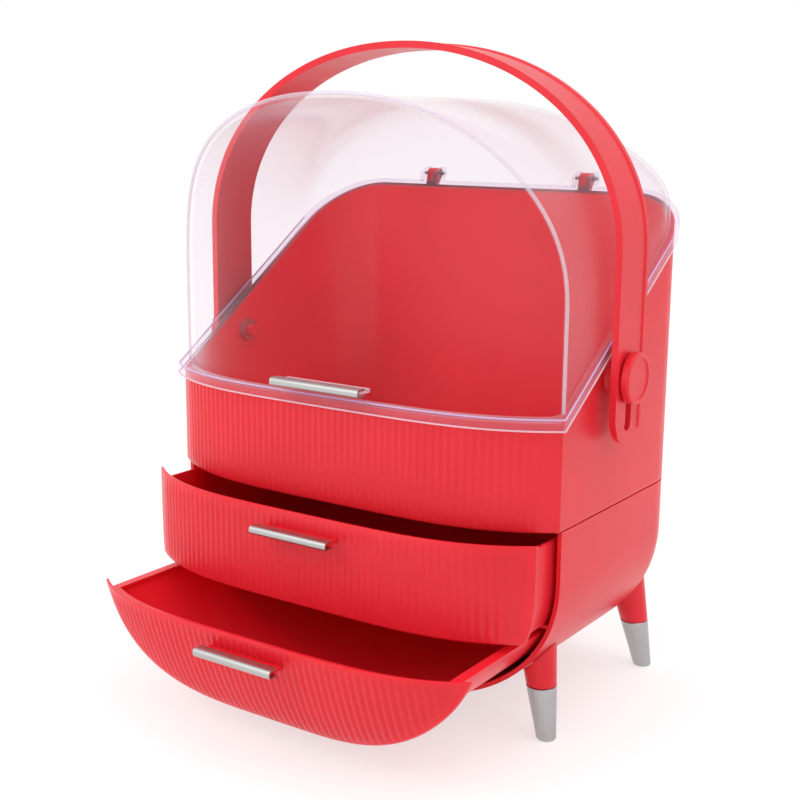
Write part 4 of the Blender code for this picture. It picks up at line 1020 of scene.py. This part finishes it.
def plastic(name, first, second, rough, coat=0.05, inside=0.06, reach=0.004):
    """Moulded plastic: faint colour drift, a fine spark-eroded grain and slow waves from cooling."""
    made, nodes, links, shader = new_material(name)
    drift = noise(nodes, links, 14)
    links.new(two_colours(nodes, links, drift, first, second), shader.inputs["Base Color"])
    smudge = noise(nodes, links, 60, detail=6)
    links.new(between(nodes, links, smudge, rough - 0.05, rough + 0.07), shader.inputs["Roughness"])
    grain = noise(nodes, links, 2600, detail=2)
    wave = noise(nodes, links, 22, detail=1)
    add_bump(nodes, links, shader, [(wave, 0.05), (grain, 0.10)], 0.0004)
    set_inputs(shader, {"Specular IOR Level": 0.3, "Coat Weight": coat, "Coat Roughness": 0.18,
            "Subsurface Weight": inside, "Subsurface Radius": (reach, 0.0008, 0.0006),
            "Subsurface Scale": 1.0})
    return made


def clear_look(name, tint, body, gloss=0.9):
    """Clear plastic: tinted see-through, gloss that grows towards grazing angles, and a milky share."""
    made, nodes, links, shader = new_material(name)
    smear = noise(nodes, links, 34, detail=5)
    shader.inputs["Base Color"].default_value = (0.93, 0.90, 0.95, 1)
    links.new(between(nodes, links, smear, 0.02, 0.09), shader.inputs["Roughness"])
    wave = noise(nodes, links, 14, detail=1)
    add_bump(nodes, links, shader, [(wave, 0.05)], 0.0006)
    seen = nodes.new("ShaderNodeBsdfTransparent")
    links.new(two_colours(nodes, links, noise(nodes, links, 9, detail=2), tint,
            tuple(part ** 0.8 for part in tint)),
              seen.inputs["Color"])
    facing = nodes.new("ShaderNodeLayerWeight")
    facing.inputs["Blend"].default_value = 0.5
    power = math_node(nodes, links, "POWER", facing.outputs["Facing"])
    power.inputs[1].default_value = CLEAR_POWER
    share = math_node(nodes, links, "MULTIPLY_ADD", power.outputs["Value"])
    set_inputs(share, {1: gloss, 2: body})
    mix = nodes.new("ShaderNodeMixShader")
    links.new(share.outputs["Value"], mix.inputs["Fac"])
    links.new(seen.outputs["BSDF"], mix.inputs[1])
    links.new(shader.outputs["BSDF"], mix.inputs[2])
    links.new(mix.outputs["Shader"], nodes["Material Output"].inputs["Surface"])
    return made


def metal_look(name, colour, rough, stretch, strength=0.12):
    """Metal with fine drawn lines along one way."""
    made, nodes, links, shader = new_material(name)
    shader.inputs["Metallic"].default_value = 1.0
    lines = noise(nodes, links, 900, detail=6, roughness=0.7, stretch=stretch)
    dull = tuple(part * 0.88 for part in colour)
    links.new(two_colours(nodes, links, lines, dull, colour, 0.3, 0.7), shader.inputs["Base Color"])
    links.new(between(nodes, links, lines, rough - 0.05, rough + 0.1), shader.inputs["Roughness"])
    add_bump(nodes, links, shader, [(lines, strength)], 0.0001)
    return made


def ray_mix(nodes, links, tree_out, lit, seen):
    """Shows one shader to the camera, to gloss and through glass, and lights with the other."""
    path = nodes.new("ShaderNodeLightPath")
    one = math_node(nodes, links, "MAXIMUM", path.outputs["Is Camera Ray"], path.outputs["Is Glossy Ray"])
    two = math_node(nodes, links, "MAXIMUM", one.outputs["Value"], path.outputs["Is Transmission Ray"])
    mix = nodes.new("ShaderNodeMixShader")
    links.new(two.outputs["Value"], mix.inputs["Fac"])
    links.new(lit, mix.inputs[1])
    links.new(seen, mix.inputs[2])
    links.new(mix.outputs["Shader"], tree_out)


def studio():
    """White background, pale floor and soft lamps."""
    world = bpy.data.worlds.new("studio")
    bpy.context.scene.world = world
    world.use_nodes = True
    nodes, links = world.node_tree.nodes, world.node_tree.links
    lit = nodes["Background"]
    set_inputs(lit, {"Color": (1, 1, 1, 1), "Strength": WORLD_LIGHT})
    seen = nodes.new("ShaderNodeBackground")
    set_inputs(seen, {"Color": (1, 1, 1, 1), "Strength": 1.0})
    ray_mix(nodes, links, nodes["World Output"].inputs["Surface"], lit.outputs["Background"],
            seen.outputs["Background"])
    bpy.ops.mesh.primitive_circle_add(vertices=96, radius=FLOOR_RADIUS, fill_type="NGON",
            location=(0, 0, 0))
    floor = bpy.context.object
    floor.name = "floor"
    made, nodes, links, shader = new_material("floor")
    set_inputs(shader, {"Base Color": (0.93, 0.925, 0.925, 1), "Roughness": 0.45,
            "Specular IOR Level": 0.25})
    matt = nodes.new("ShaderNodeBsdfDiffuse")
    matt.inputs["Color"].default_value = (*FLOOR_SEEN, 1)
    glow = nodes.new("ShaderNodeEmission")
    glow.inputs["Strength"].default_value = FLOOR_GLOW
    both = nodes.new("ShaderNodeAddShader")
    links.new(matt.outputs["BSDF"], both.inputs[0])
    links.new(glow.outputs["Emission"], both.inputs[1])
    ray_mix(nodes, links, nodes["Material Output"].inputs["Surface"], shader.outputs["BSDF"],
            both.outputs["Shader"])
    floor.data.materials.append(made)
    for name, place, size, power in LAMPS:
        lamp = bpy.data.lights.new(name, "AREA")
        lamp.shape = "RECTANGLE"
        lamp.size, lamp.size_y = size
        lamp.energy = power
        lamp_object = bpy.data.objects.new(name, lamp)
        lamp_object.location = place
        lamp_object.rotation_mode = "QUATERNION"
        lamp_object.rotation_quaternion = (Vector((0, 0, 0.18)) - Vector(place)).to_track_quat("-Z", "Y")
        bpy.context.collection.objects.link(lamp_object)


def camera():
    """The photograph's viewpoint, from the places of known points in it."""
    data = bpy.data.cameras.new("camera")
    data.sensor_width = 36
    data.lens = 36 * CAMERA_FOCAL / 800
    made = bpy.data.objects.new("camera", data)
    bpy.context.collection.objects.link(made)
    x, y, z = CAMERA_PLACE
    made.location = (x, y + centre_shift(), z)
    yaw, pitch, roll = (math.radians(v) for v in CAMERA_TURN)
    right = Vector((math.cos(yaw), math.sin(yaw), 0))
    ahead = Vector((-math.sin(yaw) * math.cos(pitch), math.cos(yaw) * math.cos(pitch), -math.sin(pitch)))
    up = right.cross(ahead)
    side = right * math.cos(roll) + up * math.sin(roll)
    top = up * math.cos(roll) - right * math.sin(roll)
    made.rotation_euler = Matrix((side, top, -ahead)).transposed().to_euler()
    data.clip_start = 0.01
    bpy.context.scene.camera = made


CAMERA_PLACE = (0.4467, -0.6074, 0.3460)
CAMERA_TURN = (34.50, 12.05, 0.515)
CAMERA_FOCAL = 1323.6
WORLD_LIGHT = 0.84
FLOOR_RADIUS = 6.0
FLOOR_GLOW = 0.625
FLOOR_SEEN = (0.46, 0.46, 0.46)
LAMPS = [
    ("key", (-0.9, -1.5, 1.6), (1.2, 1.2), 9),
    ("front", (-0.5, -1.4, 0.5), (0.8, 0.8), 2),
    ("side", (1.7, -0.3, 1.0), (1.0, 1.4), 0.6),
    ("top", (0.6, 0.1, 1.7), (1.4, 1.4), 6)]


def build():
    red = plastic("red_plastic", (0.83, 0.022, 0.036), (0.77, 0.016, 0.029), 0.34)
    deep = plastic("drawer_plastic", (0.86, 0.020, 0.036), (0.80, 0.015, 0.028), 0.34, 0.05, 0.3, 0.014)
    # a lighter copy of the drawer red for the drawers' boxes: painted light that brightens their shaded
    # insides
    lightened_tray_look = plastic("drawer_tray_painted_light", (0.95, 0.022, 0.040), (0.90, 0.017, 0.032), 0.34, 0.05, 0.3, 0.014)
    clear = clear_look("clear_plastic", (0.985, 0.965, 0.978), 0.012, 0.75)
    # milky whitish share for the arch bead and the lid's lip: a painted highlight in their thick clear edges
    edge = clear_look("clear_edge_painted_highlight", (0.93, 0.88, 0.95), 0.32)
    flange = clear_look("clear_flange", (0.97, 0.92, 0.97), 0.05, 0.7)
    # pink and lilac opaque looks for the flange's beads: painted highlights where light gathers in the clear
    # edges
    lines = (plastic("painted_pink_edge_highlight", (0.90, 0.62, 0.66), (0.84, 0.52, 0.58), 0.25),
             plastic("painted_lilac_edge_highlight", (0.62, 0.44, 0.74), (0.70, 0.52, 0.78), 0.25))
    steel = metal_look("satin_steel", (0.50, 0.50, 0.49), 0.30, (0.05, 1, 1))
    bright = metal_look("chrome", (0.46, 0.46, 0.47), 0.24, (1, 1, 0.05), 0.06)
    zinc = metal_look("zinc", (0.62, 0.63, 0.65), 0.35, (1, 1, 1))
    tub_piece(red)
    tub_trims(red)
    housing_piece(red)
    drawer_pieces("upper_drawer", deep, lightened_tray_look, steel, SHELF_TOP + RUNNING_GAP,
                  UPPER_FRONT_HIGH - UPPER_BOX_DROP,
                  UPPER_FRONT_LOW, UPPER_FRONT_HIGH, UPPER_OPEN, 0, "upper_drawer_unit")
    drawer_pieces("lower_drawer", deep, lightened_tray_look, steel, floor_height(), LOWER_FRONT_HIGH - LOWER_BOX_DROP,
                  HOUSING_BOTTOM, LOWER_FRONT_HIGH, LOWER_OPEN, DRAWER_LEDGE, "lower_drawer_unit")
    lid_pieces(clear, edge, flange, lines, steel)
    handle_piece(red)
    knob_pieces(red)
    leg_pieces(red, bright)
    looks = {"red_plastic": red, "drawer_plastic": deep, "clear_plastic": clear, "satin_steel": steel,
             "chrome": bright, "zinc": zinc}
    slots = {entry["node"]: entry["material_slot"] for entry in frame["record"]["subparts"]}
    for name, node in frame["nodes"].items():
        node.data.materials.clear()
        node.data.materials.append(looks[slots[name]])
        node.data.shade_smooth()
        node.data.set_sharp_from_angle(angle=SMOOTH_ANGLE)


build()
studio()
camera()
bpy.context.scene.view_settings.view_transform = "Standard"
